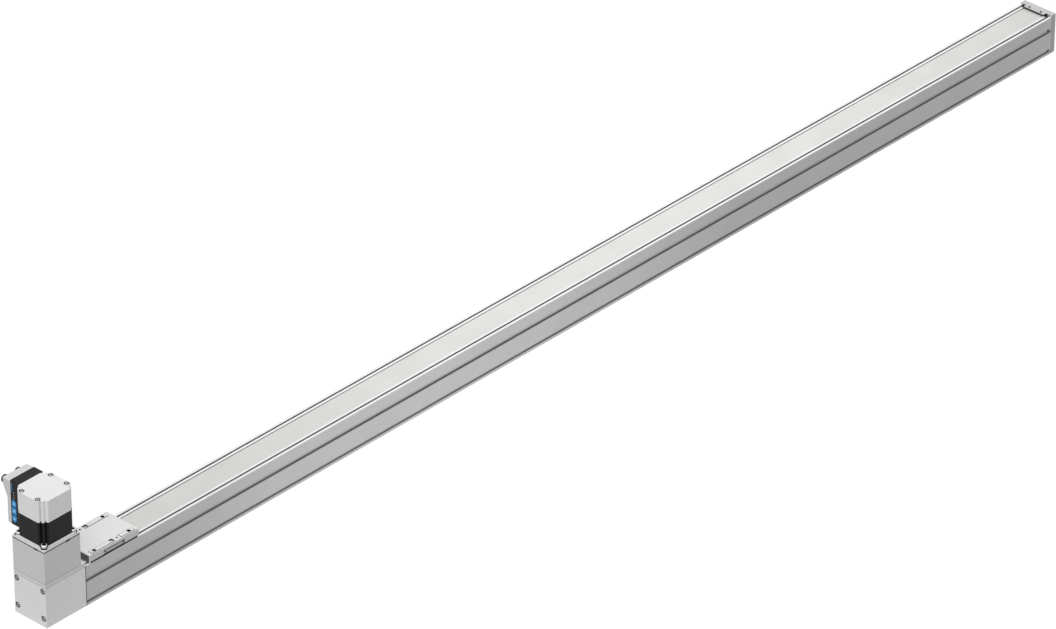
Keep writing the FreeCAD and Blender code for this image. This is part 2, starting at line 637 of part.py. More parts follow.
def makeMotor():
    """Motor plate, black stack, grey rear housing, rotor, bearings and screws."""
    half, reach = s.headWidth / 2, s.blockLength / 2
    inset = s.seamInset
    pilotLow = blockTop - s.motorPilotDepth
    bearingLow = plateTop - s.motorBearingWidth
    narrow, thin = reach - inset, half - inset
    plate = fuse(
        block((motorX - reach, motorX + reach), (-half, half), (plateBottom, plateTop)),
        block((motorX - narrow, motorX + narrow), (-thin, thin), (blockTop, plateTop)),
        rod(s.couplingBore - s.seatClearance, (motorX, 0, pilotLow), plateBottom - pilotLow),
    )
    plateTools = plateNotches() + [
        rod(s.couplingBore - s.motorPilotWall, (motorX, 0, pilotLow), plateBottom - pilotLow),
        bar(s.motorShaftRadius + s.shaftPassage, (motorX, 0, blockTop), s.motorPlateThickness, sides=12),
        rod(s.motorBearingRadius, (motorX, 0, bearingLow), s.motorBearingWidth),
    ]
    floor = plateBottom + s.motorPlateFloor
    screws = []
    for x, y in corners(s.flangeHolesX / 2, s.flangeHolesY / 2):
        plateTools.append(bar(s.flangeScrewRadius, (motorX + x, y, blockTop), s.motorPlateThickness))
        screws.append(screw((motorX + x, y, floor), "-Z", s.flangeScrewRadius - s.screwClearance,
                            floor - headTop - s.flangeScrewTip, s.flangeScrewHead, s.flangeScrewRadius * 2))
    keep(cut(plate, *plateTools), "motor_plate")
    keep(group(screws), "motor_flange_screws")

    stack, grooves = motorForm("MotorStack", plateTop, stackTop)
    tunnel = rod(s.rotorRadius + s.rotorGap, (motorX, 0, plateTop), s.stackLength)
    keep(cut(stack, tunnel, *grooves), "motor_stack")

    rear, rearTools = motorForm("MotorRear", stackTop, motorTop)
    rearTools.append(rod(s.motorBearingRadius, (motorX, 0, stackTop), s.motorBearingWidth))
    rearTools.append(bar(s.encoderRadius, (motorX, 0, stackTop), s.encoderDepth, sides=12))
    rearScrews = []
    screwLow = motorTop - s.rearScrewDepth
    for x, y in corners(s.motorLength / 2 - s.rearScrewInset, s.rearScrewSpacing / 2):
        start, deep = (motorX + x, y, screwLow), s.rearScrewDepth
        rearTools.append(bar(s.rearScrewRadius + s.screwClearance, start, deep, sides=12))
        rearScrews.append(bar(s.rearScrewRadius, start, deep, sides=12))
    keep(cut(rear, *rearTools), "motor_rear_housing")
    keep(group(rearScrews), "motor_cover_screws")
    keep(shaftBearings(s.motorBearingRadius, s.motorShaftRadius, s.motorBearingWidth, (bearingLow, stackTop)),
         "motor_bearings")

    shaftLow = couplingLow + s.hubLength + s.jawHeight + s.shaftEndGap
    shaftHigh = stackTop + s.encoderDepth - s.encoderGap
    keep(fuse(
        rod(s.motorShaftRadius, (motorX, 0, shaftLow), shaftHigh - shaftLow),
        rod(s.rotorRadius, (motorX, 0, plateTop + s.rotorEndGap), s.stackLength - s.rotorEndGap * 2),
    ), "motor_rotor")


def makeCoupling():
    """Two hubs with three jaws each, and the elastic spider between them."""
    jawLow = couplingLow + s.hubLength
    jawHigh = jawLow + s.jawHeight
    pitch = 120
    tall = s.jawHeight - s.jawGap
    legLow, legLength = jawLow + s.jawGap, s.jawHeight - s.jawGap * 2
    legs = [rod(s.hubRadius - s.spiderGap, (motorX, 0, legLow), legLength,
                angle=(i * pitch / 2 - number(s.legAngle) / 2, s.legAngle)) for i in range(6)]
    core = rod(s.jawInner - s.spiderGap, (motorX, 0, legLow), legLength)
    bore = bar(s.spiderBore, (motorX, 0, jawLow), s.jawHeight, sides=12)
    keep(cut(fuse(core, *legs), bore), "coupling_spider")

    def jaws(first, bottom):
        return [cut(rod(s.hubRadius, (motorX, 0, bottom), tall, angle=(first + i * pitch, s.jawAngle)),
                    bar(s.jawInner, (motorX, 0, bottom), tall, sides=12)) for i in range(3)]

    start = pitch / 4 - number(s.jawAngle) / 2
    lower = fuse(rod(s.hubRadius, (motorX, 0, couplingLow), s.hubLength), *jaws(start, jawLow))
    upper = fuse(rod(s.hubRadius, (motorX, 0, jawHigh), s.hubLength), *jaws(start + pitch / 2, legLow))
    keep(cut(lower, rod(s.shaftRadius, (motorX, 0, couplingLow), s.hubLength)), "coupling_hub_pulley")
    keep(cut(upper, rod(s.motorShaftRadius, (motorX, 0, jawHigh), s.hubLength)), "coupling_hub_motor")
    bottom = lowerBearing - s.shaftEndGap
    keep(rod(s.shaftRadius, (motorX, 0, bottom), jawLow - s.shaftEndGap - bottom), "pulley_shaft")


def buttonForm(i, x, grow):
    """A button's outline: the top one is round above, the bottom one round below."""
    half = s.buttonWidth / 2 + grow
    low = boxBottom + s.buttonInset + i * s.buttonPitch - s.buttonHeight / 2 - grow
    high = low + s.buttonHeight + grow * 2
    wide = (buttonY - half, buttonY + half)
    if i == 1:
        return block(x, wide, (low, high))
    centre = high - half if i == 2 else low + half
    straight = (low, centre) if i == 2 else (centre, high)
    return fuse(block(x, wide, straight), rod(half, (x[0], buttonY, centre), x[1] - x[0], "X"))


def makeDriveBox():
    """The drive electronics beside the motor: black body, grey outer cover, buttons, lights and sockets."""
    span = boxLow, boxLow + s.boxLength
    inner = s.motorWidth / 2 + s.boxGap
    outer = inner + s.boxWidth
    body = block(span, (inner, outer), (boxBottom, motorTop))
    pocket = (boxLow, boxLow + s.buttonThickness - s.buttonStand + s.buttonTravel + s.buttonReserve)
    tools = [buttonForm(i, pocket, s.buttonGap) for i in range(3)]
    wide, gap = s.lightSize / 2, s.shaftClearance
    lights = []
    for i in range(3):
        z = boxBottom + s.buttonInset + s.buttonPitch * 2 + s.lightInset + i * s.lightPitch
        tools.append(block((boxLow, boxLow + s.lightDepth), (buttonY - wide - gap, buttonY + wide + gap),
                           (z - wide - gap, z + wide + gap)))
        lights.append(block((boxLow - s.lightStand, boxLow + s.lightDepth), (buttonY - wide, buttonY + wide),
                            (z - wide, z + wide)))
    keep(cut(body, *tools), "drive_box_body")
    keep(group(lights), "status_lights")
    buttonX = boxLow - s.buttonStand
    for i, name in enumerate(("lower_button", "middle_button", "upper_button")):
        keep(buttonForm(i, (buttonX, buttonX + s.buttonThickness), 0), name)

    thin = outer + s.coverWidth
    thick = thin + s.coverBulge
    shell = [(outer, boxBottom), (thin, boxBottom), (thin, motorTop - s.bulgeStart),
             (thick, motorTop - s.bulgeEnd), (thick, motorTop), (outer, motorTop)]
    cover = extrusion("DriveCover", "YZ_Plane", [shell], *span)
    top, bottom = number(motorTop), number(boxBottom)
    far = number(outer) + number(s.coverWidth) / 2
    roundEdges(cover, s.boxRadius, lambda edge: edge.CenterOfMass.z > top - 1 and edge.CenterOfMass.y > far)
    keep(roundEdges(cover, s.coverRadius, lambda edge: edge.CenterOfMass.y > far and edge.Length > 8
                    and edge.CenterOfMass.z < bottom + 1), "drive_box_cover")

    for i, name in enumerate(("power_connector", "logic_connector")):
        x, z = boxLow + s.socketInset + i * s.socketSpacing, motorTop - s.socketDrop
        form = fuse(bar(s.socketFlange, (x, thick, z), s.socketFlangeThickness, "Y", 16),
                    rod(s.socketRadius, (x, thick, z), s.socketLength, "Y"))
        bore = rod(s.socketBore, (x, thick + s.socketLength - s.socketDepth, z), s.socketDepth, "Y")
        keep(cut(form, bore), name)


def makeEndCap():
    """End cap with the strip tongue, the idler's tension bracket and their screws."""
    half = s.profileWidth / 2 - s.capInset
    outer = right + s.capThickness
    capTop = s.profileHeight + s.capRise
    tongueHalf = s.stripSeatWidth / 2 - s.tongueGap
    tongueLow = stripSeat + s.stripThickness + s.seatClearance
    plate = block((right, outer), (-half, half), (0, capTop))
    tongue = block((right - s.tongueReach, right + s.capThickness / 2), (-tongueHalf, tongueHalf),
                   (tongueLow, capTop))
    gapLow = pulleyBottom - s.flangeThickness - s.bracketGap
    gapHigh = pulleyTop + s.flangeThickness + s.bracketGap
    bracketLow, bracketHigh = gapLow - s.bracketArm, gapHigh + s.bracketArm
    middle = (s.beltBottom + beltTop) / 2
    wide = s.bracketWidth / 2
    pocket, room = wide + s.capPocketGap, s.capPocketHeadroom
    tools = [
        block((right, right + s.capPocketDepth), (-pocket, pocket), (bracketLow - room, bracketHigh + room)),
        bar(s.tensionScrewRadius + s.screwClearance, (right, 0, middle), s.capThickness, "X"),
    ]
    screws = []
    seat = outer - s.capScrewSink
    for y, z in channels:
        tools.append(bar(s.channelRadius + s.screwClearance, (right, y, z), s.capThickness, "X"))
        tools.append(bar(s.capScrewHead + s.screwClearance, (seat, y, z), s.capScrewSink, "X", 16))
        length = s.capThickness - s.capScrewSink + s.capScrewGrip
        screws.append(screw((seat, y, z), "-X", s.channelRadius - s.screwClearance, length,
                            s.capScrewHead, s.capScrewHeight))
    clampScrews = []
    pinLow = stripSeat + s.stripThickness
    for y in (-s.tongueScrewOffset, s.tongueScrewOffset):
        x = right - s.tongueScrewInset
        tools.append(bar(s.tongueScrewRadius, (x, y, tongueLow), capTop - tongueLow, sides=12))
        clampScrews.append(bar(s.tongueScrewRadius - s.shaftClearance, (x, y, pinLow),
                               capTop - pinLow - s.tongueScrewSink, sides=12))
    keep(cut(fuse(plate, tongue), *tools), "end_cap")
    keep(group(screws), "end_cap_screws")
    keep(group(clampScrews), "strip_clamp_screws")

    web = right + s.capPocketDepth - s.bracketSetback
    reach = idlerX - s.bracketReach
    solid = block((reach, web), (-wide, wide), (bracketLow, bracketHigh))
    gap = block((reach, idlerX + flangeRadius + s.bracketGap), (-wide, wide), (gapLow, gapHigh))
    tall = bracketHigh - bracketLow
    axleHole = bar(s.idlerAxleRadius, (idlerX, 0, bracketLow), tall, sides=12)
    start = (idlerX + flangeRadius, 0, middle)
    screwHole = bar(s.tensionScrewRadius + s.screwClearance, start, web - idlerX, "X")
    keep(cut(solid, gap, axleHole, screwHole), "idler_bracket")
    keep(bar(s.idlerAxleRadius - s.pressClearance, (idlerX, 0, bracketLow), tall, sides=12), "idler_axle")
    keep(screw((outer, 0, middle), "-X", s.tensionScrewRadius, outer - web + s.tensionScrewGrip,
               s.tensionScrewHead, s.tensionScrewHeight), "tension_screw")

    buffers = []
    for x in (left, right - s.bufferLength):
        for y in (-s.bufferOffset, s.bufferOffset):
            start = (x, y, cavityTop - s.bufferDrop)
            buffers.append(bar(s.bufferRadius, start, s.bufferLength, "X", sides=12))
    keep(group(buffers), "end_buffers")


def makeRunner():
    """The ball runner on the rail: steel block between two plastic end caps."""
    half, gap = s.railWidth / 2, s.slotGap
    bottom = s.floorThickness + s.runnerRise
    low = s.floorThickness
    track = half - s.railGroove + gap
    wide = s.runnerWidth / 2
    inside = [
        (half + gap, bottom), (half + gap, low + s.railHeight * 0.42),
        (track, low + s.railHeight * 0.52), (track, low + s.railHeight * 0.63),
        (half + gap, low + s.railHeight * 0.73), (half + gap, railTop + gap),
    ]
    section = [(wide, bottom)] + mirrored(inside) + [(-wide, bottom), (-wide, runnerTop), (wide, runnerTop)]
    long, cap = s.runnerLength / 2, s.runnerCapLength
    steel = extrusion("Runner", "YZ_Plane", [section], slideX - long, slideX + long)
    tall = runnerTop - railTop
    holes = [bar(s.runnerThread, (slideX + x, 0, railTop), tall) for x in carriageScrewPlaces()]
    keep(cut(steel, *holes), "runner_block")
    ends = [extrusion("RunnerEnd", "YZ_Plane", [section], *span) for span in
            ((slideX - long - cap, slideX - long), (slideX + long, slideX + long + cap))]
    keep(group(ends), "runner_end_caps")


def carriageScrewPlaces():
    return (-s.carriageScrewSpacing / 2, s.carriageScrewSpacing / 2)


def makeNeck():
    """The neck joins runner and slide plate: foot, web between the belt's runs, shoulder and flange."""
    foot, web = s.runnerWidth / 2 - s.neckFootInset, landRadius - s.toothDepth - s.neckWebGap
    shoulder, top = s.cavityWidth / 2 - s.shoulderGap, s.neckOpening / 2 - s.neckGap
    flange = s.neckFlangeWidth / 2
    footTop = runnerTop + s.neckFoot
    flangeLow = neckTop - s.neckFlangeThickness
    half = [
        (foot, runnerTop), (foot, footTop), (web, footTop), (web, shoulderLow), (shoulder, shoulderLow),
        (shoulder, shoulderHigh), (top, shoulderHigh), (top, flangeLow), (flange, flangeLow),
        (flange, neckTop),
    ]
    reach = s.neckLength / 2
    neck = extrusion("Neck", "YZ_Plane", [mirrored(half)], slideX - reach, slideX + reach)
    span = slideX - s.clampLength / 2, slideX + s.clampLength / 2
    rack = block(span, (-landRadius, -web), (s.beltBottom, beltTop))
    tools = [beltTooth(x, -90, s.toothClearance) for x in clampPitches()]

    carriageScrews, clampScrews, flangeScrews, clampTools = [], [], [], []
    seat, loose = neckTop - s.carriageScrewSink, s.screwClearance
    for x in carriageScrewPlaces():
        tools.append(bar(s.carriageScrewRadius + loose, (slideX + x, 0, runnerTop), seat - runnerTop))
        tools.append(bar(s.carriageScrewHead + loose, (slideX + x, 0, seat), s.carriageScrewSink, sides=12))
        length = seat - runnerTop + s.carriageScrewGrip
        carriageScrews.append(screw((slideX + x, 0, seat), "-Z", s.carriageScrewRadius, length,
                                    s.carriageScrewHead, s.carriageScrewHeight))
    clampInner = beltOuter + s.meshClearance
    clampMiddle = -(clampInner + s.clampWidth / 2)
    for x in (slideX - s.clampScrewSpacing / 2, slideX + s.clampScrewSpacing / 2):
        tools.append(bar(s.clampScrewRadius, (x, clampMiddle, shoulderLow), shoulderHigh - shoulderLow))
        start = (x, clampMiddle, s.beltBottom)
        clampTools.append(bar(s.clampScrewRadius, start, shoulderLow - s.beltBottom))
        clampScrews.append(bar(s.clampScrewRadius - loose, start, shoulderHigh - s.beltBottom))
    for x, y in corners(s.plateScrewAlong / 2, s.plateScrewSpacing / 2):
        tools.append(bar(s.plateScrewRadius, (slideX + x, y, flangeLow), s.neckFlangeThickness))
        flangeScrews.append(bar(s.plateScrewRadius - loose, (slideX + x, y, flangeLow),
                                s.neckFlangeThickness + s.plateScrewDepth))
    keep(cut(fuse(neck, rack), *tools), "slide_neck")
    keep(group(carriageScrews), "carriage_screws")
    keep(group(flangeScrews), "flange_screws")

    clamp = block(span, (-clampInner - s.clampWidth, -clampInner), (s.beltBottom - s.clampDrop, shoulderLow))
    keep(cut(clamp, *clampTools), "belt_clamp")
    keep(group(clampScrews), "belt_clamp_screws")


def padSpans():
    """The four raised pads: a long one and a short one on each row, turned end for end on the other row."""
    row, wide = s.rowSpacing / 2, s.padWidth / 2
    runs = [(-s.longPadOuter, s.longPadInner), (s.shortPadInner, s.shortPadOuter)]
    return [((slideX + a, slideX + b), (-row - wide, wide - row)) for a, b in runs] + [
        ((slideX - b, slideX - a), (row - wide, row + wide)) for a, b in runs]


def makeSlidePlate():
    """The slide plate: strip channel below, wiper seats at the ends, pads and holes on top."""
    reach, half = s.slideLength / 2, s.slideWidth / 2
    lowX, highX = slideX - reach, slideX + reach
    row = s.rowSpacing / 2
    groove, floor = s.padGrooveWidth, slideTop - s.padGrooveDepth
    plate = cut(block((lowX, highX), (-half, half), (slideBottom, slideTop)), *[
        block((x[0] - groove, x[1] + groove), (y[0] - groove, y[1] + groove), (floor, slideTop))
        for x, y in padSpans()])
    padTop = slideTop + s.padHeight
    pads = [block(x, y, (floor - s.padGrooveDepth, padTop)) for x, y in padSpans()]

    channel = s.stripChannelWidth / 2
    flange = s.neckFlangeWidth / 2 + s.channelClearance
    neck = s.neckLength / 2 + s.channelClearance
    wiper = s.wiperWidth / 2
    tools = [
        block((lowX, highX), (-channel, channel), (slideBottom, stripChannelTop)),
        block((slideX - neck, slideX + neck), (-flange, flange), (slideBottom, neckTop)),
        block((lowX, lowX + s.wiperThickness), (-wiper, wiper), (slideBottom, wiperTop)),
        block((highX - s.wiperThickness, highX), (-wiper, wiper), (slideBottom, wiperTop)),
    ]
    pocketLow = slideBottom + s.sidePocketInset
    plugs = []
    for side in (-1, 1):
        for x in (-s.threadSpacing / 2, s.threadSpacing / 2):
            tools.append(rod(s.threadRadius, (slideX + x, side * row, padTop - s.threadDepth), s.threadDepth))
        tools.append(rod(s.centringRadius, (slideX, side * row, padTop - s.centringDepth), s.centringDepth))
        pinX = slideX - side * s.pinHoleOffset
        start = (pinX, side * row, padTop - s.pinHoleDepth)
        tools.append(bar(s.pinHoleRadius, start, s.pinHoleDepth, sides=8))
        deep = (side * half - s.sidePocketDepth, side * half + s.sidePocketDepth)
        tools.append(block((slideX - s.sidePocketLength / 2, slideX + s.sidePocketLength / 2), deep,
                           (pocketLow, pocketLow + s.sidePocketHeight)))
        wall = side * (half - s.sidePocketDepth)
        plugY = wall if side > 0 else wall - s.greaseLength
        for x in (-s.greaseSpacing / 2, s.greaseSpacing / 2):
            start = (slideX + x, plugY, slideBottom + s.greaseRise)
            plugs.append(bar(s.greaseRadius, start, s.greaseLength, "Y"))
    for x, y in corners(s.plateScrewAlong / 2, s.plateScrewSpacing / 2):
        tools.append(bar(s.plateScrewRadius, (slideX + x, y, neckTop), s.plateScrewDepth))
    keep(cut(fuse(plate, *pads), *tools), "slide_plate")
    keep(group(plugs), "lubrication_plugs")


def makeSlideTrim():
    """End wipers, side seals and the guides that press the strip down."""
    reach = s.slideLength / 2
    gap = s.seatClearance
    wide = s.wiperWidth / 2 - gap
    bottom = s.profileHeight + s.sealGap
    count = int(number(s.wiperRibs))
    wipers = []
    for side in (-1, 1):
        face = slideX + side * reach
        back = face - side * s.wiperThickness
        span = (face, back) if side < 0 else (back, face)
        blade = block(span, (-wide, wide), (bottom, wiperTop - gap))
        places = [(i - (count - 1) / 2) * s.wiperWidth / count for i in range(count)]
        grooves = [block((face - s.wiperRibDepth, face + s.wiperRibDepth),
                         (y - s.wiperGroove / 2, y + s.wiperGroove / 2),
                         (bottom + s.wiperFrame, wiperTop - s.wiperFrame)) for y in places]
        wipers.append(cut(blade, *grooves))
    keep(group(wipers), "slide_end_wipers")

    inner = reach - s.wiperThickness - gap
    outer = s.slideWidth / 2 - s.sealInset
    seals = [
        block((slideX - inner, slideX + inner), (y, y + s.sealWidth), (bottom, slideBottom))
        for y in (-outer, outer - s.sealWidth)
    ]
    keep(group(seals), "side_seals")

    near = s.humpFlat / 2 + s.guideGap
    raised = neckTop + s.stripClearance + s.stripThickness
    wideGuide = s.stripChannelWidth / 2 - gap
    shape = [(near, stripChannelTop), (near, raised + s.stripClearance),
             (inner, stripSeat + s.stripThickness + s.stripClearance * 2), (inner, stripChannelTop)]
    guides = []
    for side in (-1, 1):
        outline = [(slideX + side * x, z) for x, z in shape]
        guides.append(extrusion("StripGuide", "XZ_Plane", [outline], -wideGuide, wideGuide))
    keep(group(guides), "strip_guides")


def write():
    doc.recompute()
    broken = [item.Name for item in doc.Objects if {"Invalid", "Error"} & set(item.State)]
    for label, item in parts.items():
        if item.Shape.isNull() or not item.Shape.isValid():
            broken.append(label)
    if broken:
        raise SystemExit(f"broken: {broken}")
    os.makedirs("parts", exist_ok=True)
    for label, item in parts.items():
        item.Shape.exportStep(f"parts/{label}.step")
    print(len(parts), "parts written")


makeProfile()
makeStrip()
makeRail()
makePulleys()
makeBelt()
makeHead()
makeCouplingHousing()
makeMotor()
makeCoupling()
makeDriveBox()
makeEndCap()
makeRunner()
makeNeck()
makeSlidePlate()
makeSlideTrim()
write()
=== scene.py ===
import json
import math

import bmesh
import bpy
from mathutils import Matrix, Vector

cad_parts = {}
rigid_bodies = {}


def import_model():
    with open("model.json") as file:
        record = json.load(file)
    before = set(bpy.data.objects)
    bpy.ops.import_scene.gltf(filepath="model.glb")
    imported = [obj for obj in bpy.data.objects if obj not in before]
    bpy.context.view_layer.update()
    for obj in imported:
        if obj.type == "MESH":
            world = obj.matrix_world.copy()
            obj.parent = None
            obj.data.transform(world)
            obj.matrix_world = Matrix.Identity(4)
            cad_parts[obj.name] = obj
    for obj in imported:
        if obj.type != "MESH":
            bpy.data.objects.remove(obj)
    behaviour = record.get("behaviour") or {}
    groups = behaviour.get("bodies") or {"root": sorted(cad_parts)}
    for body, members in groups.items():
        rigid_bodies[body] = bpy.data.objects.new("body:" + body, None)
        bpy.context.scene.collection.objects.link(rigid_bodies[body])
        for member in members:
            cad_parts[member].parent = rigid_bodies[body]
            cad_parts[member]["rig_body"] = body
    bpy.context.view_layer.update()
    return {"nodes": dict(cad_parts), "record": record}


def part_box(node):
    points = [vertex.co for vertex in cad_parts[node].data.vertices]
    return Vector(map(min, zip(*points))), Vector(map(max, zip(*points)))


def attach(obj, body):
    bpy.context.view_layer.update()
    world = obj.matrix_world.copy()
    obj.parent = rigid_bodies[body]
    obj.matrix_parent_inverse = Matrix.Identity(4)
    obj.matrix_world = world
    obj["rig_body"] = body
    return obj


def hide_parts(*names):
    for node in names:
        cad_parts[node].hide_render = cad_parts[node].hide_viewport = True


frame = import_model()
scene = bpy.context.scene

mm = 0.001
same = {"merge": 0.002, "spun": 0.001, "cut": 0.01, "onFold": 0.05}    # distances that count as none, mm
camera = {
    "place": (-6.5749, -5.9779, 5.4993),
    "turn": -47.0945, "rise": 31.8082,    # degrees, as seen from above and from the floor
    "lens": 252.43, "sensor": 36, "shiftX": 0.01464, "shiftY": -0.00179,
    "sees": (0.1, 100),    # nearest and farthest, in metres
}


def setCamera():
    data = bpy.data.cameras.new("camera")
    data.lens, data.sensor_width = camera["lens"], camera["sensor"]
    data.shift_x, data.shift_y = camera["shiftX"], camera["shiftY"]
    data.clip_start, data.clip_end = camera["sees"]
    eye = bpy.data.objects.new("camera", data)
    scene.collection.objects.link(eye)
    eye.location = camera["place"]
    eye.rotation_euler = (math.radians(90 - camera["rise"]), 0, math.radians(camera["turn"]))
    scene.camera = eye
    print("camera set")


def wire(tree, a, output, b, entry):
    tree.links.new(a.outputs[output], b.inputs[entry])


def newMaterial(name):
    material = bpy.data.materials.new(name)
    material.use_nodes = True
    tree = material.node_tree
    return material, tree, tree.nodes["Principled BSDF"]


noiseLook = {
    "from": 0.3, "to": 0.7,    # the part of the noise that carries the change
    "detail": 4, "rough": 0.55,
    "cloudStretch": (9, 9, 9), "cloudScale": 2, "cloudDetail": 2,
}


def pattern(tree, stretch, scale, detail):
    # noise on Object coordinates, stretched along the axes
    place = tree.nodes.new("ShaderNodeTexCoord")
    mapping = tree.nodes.new("ShaderNodeMapping")
    mapping.inputs["Scale"].default_value = stretch
    noise = tree.nodes.new("ShaderNodeTexNoise")
    noise.inputs["Scale"].default_value = scale
    noise.inputs["Detail"].default_value = detail
    noise.inputs["Roughness"].default_value = noiseLook["rough"]
    wire(tree, place, "Object", mapping, "Vector")
    wire(tree, mapping, "Vector", noise, "Vector")
    return noise


def tint(tree, noise, color, change, shader):
    # the colour wanders a little to both sides of its own value
    ramp = tree.nodes.new("ShaderNodeValToRGB")
    darker, lighter = ramp.color_ramp.elements
    darker.position, lighter.position = noiseLook["from"], noiseLook["to"]
    darker.color = (*[channel * (1 - change) for channel in color], 1)
    lighter.color = (*[channel * (1 + change) for channel in color], 1)
    wire(tree, noise, "Fac", ramp, "Fac")
    wire(tree, ramp, "Color", shader, "Base Color")


def roughen(tree, noise, low, high, shader):
    limits = tree.nodes.new("ShaderNodeMapRange")
    limits.inputs["From Min"].default_value = noiseLook["from"]
    limits.inputs["From Max"].default_value = noiseLook["to"]
    limits.inputs["To Min"].default_value = low
    limits.inputs["To Max"].default_value = high
    wire(tree, noise, "Fac", limits, "Value")
    wire(tree, limits, "Result", shader, "Roughness")


def relief(tree, noise, depth, shader):
    bump = tree.nodes.new("ShaderNodeBump")
    bump.inputs["Distance"].default_value = depth
    bump.inputs["Strength"].default_value = 1
    wire(tree, noise, "Fac", bump, "Height")
    wire(tree, bump, "Normal", shader, "Normal")


finishes = {
    # colour, metallic, roughness low and high, the grain's stretch and scale, colour change, relief in mm,
    # specular
    "anodised_aluminium": ((0.50, 0.502, 0.505), 0.36, 0.42, 0.52, (1.5, 260, 260), 6, 0.03, 0.015, 0.5),
    "guide_aluminium": ((0.47, 0.472, 0.475), 0.36, 0.42, 0.52, (1.5, 260, 260), 6, 0.03, 0.015, 0.5),
    # painted shade inside the guide's slots
    "groove_painted_shade": ((0.19, 0.19, 0.192), 0.10, 0.50, 0.60, (1.5, 260, 260), 6, 0.05, 0.015, 0.2),
    # painted highlight on the guide's top ledges
    "ledge_painted_highlight": ((0.78, 0.782, 0.785), 0.20, 0.40, 0.50, (1.5, 260, 260), 6, 0.02, 0.015, 0.5),
    "deep_shadow": ((0.006, 0.006, 0.006), 0.0, 0.60, 0.70, (200, 200, 200), 4, 0.10, 0.01, 0.1),
    "bright_steel": ((0.70, 0.70, 0.70), 0.50, 0.30, 0.42, (300, 300, 300), 4, 0.05, 0.02, 0.5),
    "housing_aluminium": ((0.60, 0.602, 0.605), 0.12, 0.42, 0.52, (60, 60, 60), 14, 0.02, 0.01, 0.5),
    "cover_aluminium": ((0.66, 0.662, 0.665), 0.10, 0.42, 0.52, (60, 60, 60), 14, 0.02, 0.01, 0.5),
    "head_aluminium": ((0.76, 0.763, 0.766), 0.10, 0.42, 0.52, (60, 60, 60), 14, 0.02, 0.01, 0.5),
    "slide_aluminium": ((0.72, 0.722, 0.72), 0.10, 0.40, 0.50, (30, 220, 220), 6, 0.025, 0.012, 0.5),
    "lid_plastic": ((0.47, 0.465, 0.445), 0.0, 0.45, 0.58, (400, 400, 400), 3, 0.03, 0.02, 0.4),
    # painted shade on the end cap's sides
    "cap_side_painted_shade": ((0.36, 0.362, 0.365), 0.3, 0.42, 0.52, (200, 200, 8), 6, 0.03, 0.015, 0.4),
    "stripe_blue": ((0.03, 0.20, 0.45), 0.0, 0.34, 0.46, (300, 300, 300), 3, 0.05, 0.01, 0.4),
    "strip_steel": ((0.585, 0.58, 0.566), 0.40, 0.34, 0.44, (2, 320, 320), 5, 0.03, 0.01, 0.5),
    "rail_steel": ((0.55, 0.56, 0.58), 0.9, 0.22, 0.36, (4, 300, 300), 6, 0.06, 0.01, 0.5),
    "screw_steel": ((0.36, 0.37, 0.38), 0.85, 0.28, 0.42, (300, 300, 300), 4, 0.12, 0.02, 0.5),
    # near black: the strip's clamp screws, and painted shade round the motor's flange screws
    "dark_screw_steel": ((0.015, 0.015, 0.016), 0.2, 0.40, 0.5, (300, 300, 300), 4, 0.2, 0.02, 0.3),
    "belt_rubber": ((0.02, 0.02, 0.02), 0.0, 0.55, 0.75, (200, 200, 200), 5, 0.2, 0.03, 0.3),
    "buffer_rubber": ((0.03, 0.03, 0.03), 0.0, 0.6, 0.8, (200, 200, 200), 5, 0.2, 0.03, 0.3),
    "spider_rubber": ((0.55, 0.06, 0.05), 0.0, 0.4, 0.6, (120, 120, 120), 5, 0.1, 0.02, 0.5),
    "black_coating": ((0.007, 0.007, 0.008), 0.0, 0.44, 0.56, (20, 20, 900), 3, 0.2, 0.02, 0.15),
    "light_casting": ((0.79, 0.792, 0.795), 0.04, 0.45, 0.58, (420, 420, 420), 3, 0.02, 0.02, 0.5),
    "black_plastic": ((0.013, 0.012, 0.012), 0.0, 0.50, 0.62, (500, 500, 500), 3, 0.15, 0.03, 0.15),
    "grey_plastic": ((0.64, 0.642, 0.645), 0.0, 0.45, 0.58, (500, 500, 500), 3, 0.02, 0.02, 0.5),
    "wiper_plastic": ((0.11, 0.11, 0.112), 0.0, 0.50, 0.65, (400, 400, 400), 3, 0.15, 0.03, 0.3),
    # near black: the real seals and plugs, and painted shade in gaps and pockets
    "seal_rubber_and_shade": ((0.004, 0.004, 0.004), 0.0, 0.6, 0.75, (400, 400, 400), 3, 0.2, 0.03, 0.15),
    "button_blue": ((0.02, 0.33, 0.75), 0.0, 0.34, 0.46, (300, 300, 300), 3, 0.05, 0.01, 0.4),
    "light_plastic": ((0.30, 0.31, 0.32), 0.0, 0.12, 0.2, (200, 200, 200), 3, 0.08, 0.01, 0.5),
    "connector_dark": ((0.05, 0.05, 0.053), 0.3, 0.30, 0.44, (200, 200, 200), 3, 0.12, 0.01, 0.5),
    "magnet_dark": ((0.05, 0.045, 0.045), 0.0, 0.6, 0.8, (100, 400, 400), 4, 0.2, 0.02, 0.3),
    "mark_white": ((0.80, 0.81, 0.82), 0.0, 0.40, 0.5, (300, 300, 300), 3, 0.02, 0.01, 0.5),
    "contact_gold": ((0.78, 0.57, 0.24), 1.0, 0.2, 0.3, (300, 300, 300), 3, 0.05, 0.01, 0.5),
}
materials = {}

slotShade = {
    # painted shade on the guide's side where it curves in to its slots: height of each step in mm, and how much
    # colour is left there
    "tall": 62.2,
    "steps": ((6.4, 1.0), (6.5, 0.5), (7.2, 0.62), (8.8, 1.0),
              (40.1, 1.0), (40.2, 0.5), (41.2, 0.70), (43.0, 0.9), (46.0, 1.0)),
}
mixSockets = {"share": 0, "first": 6, "second": 7, "result": 2}    # where the Mix node keeps its colours
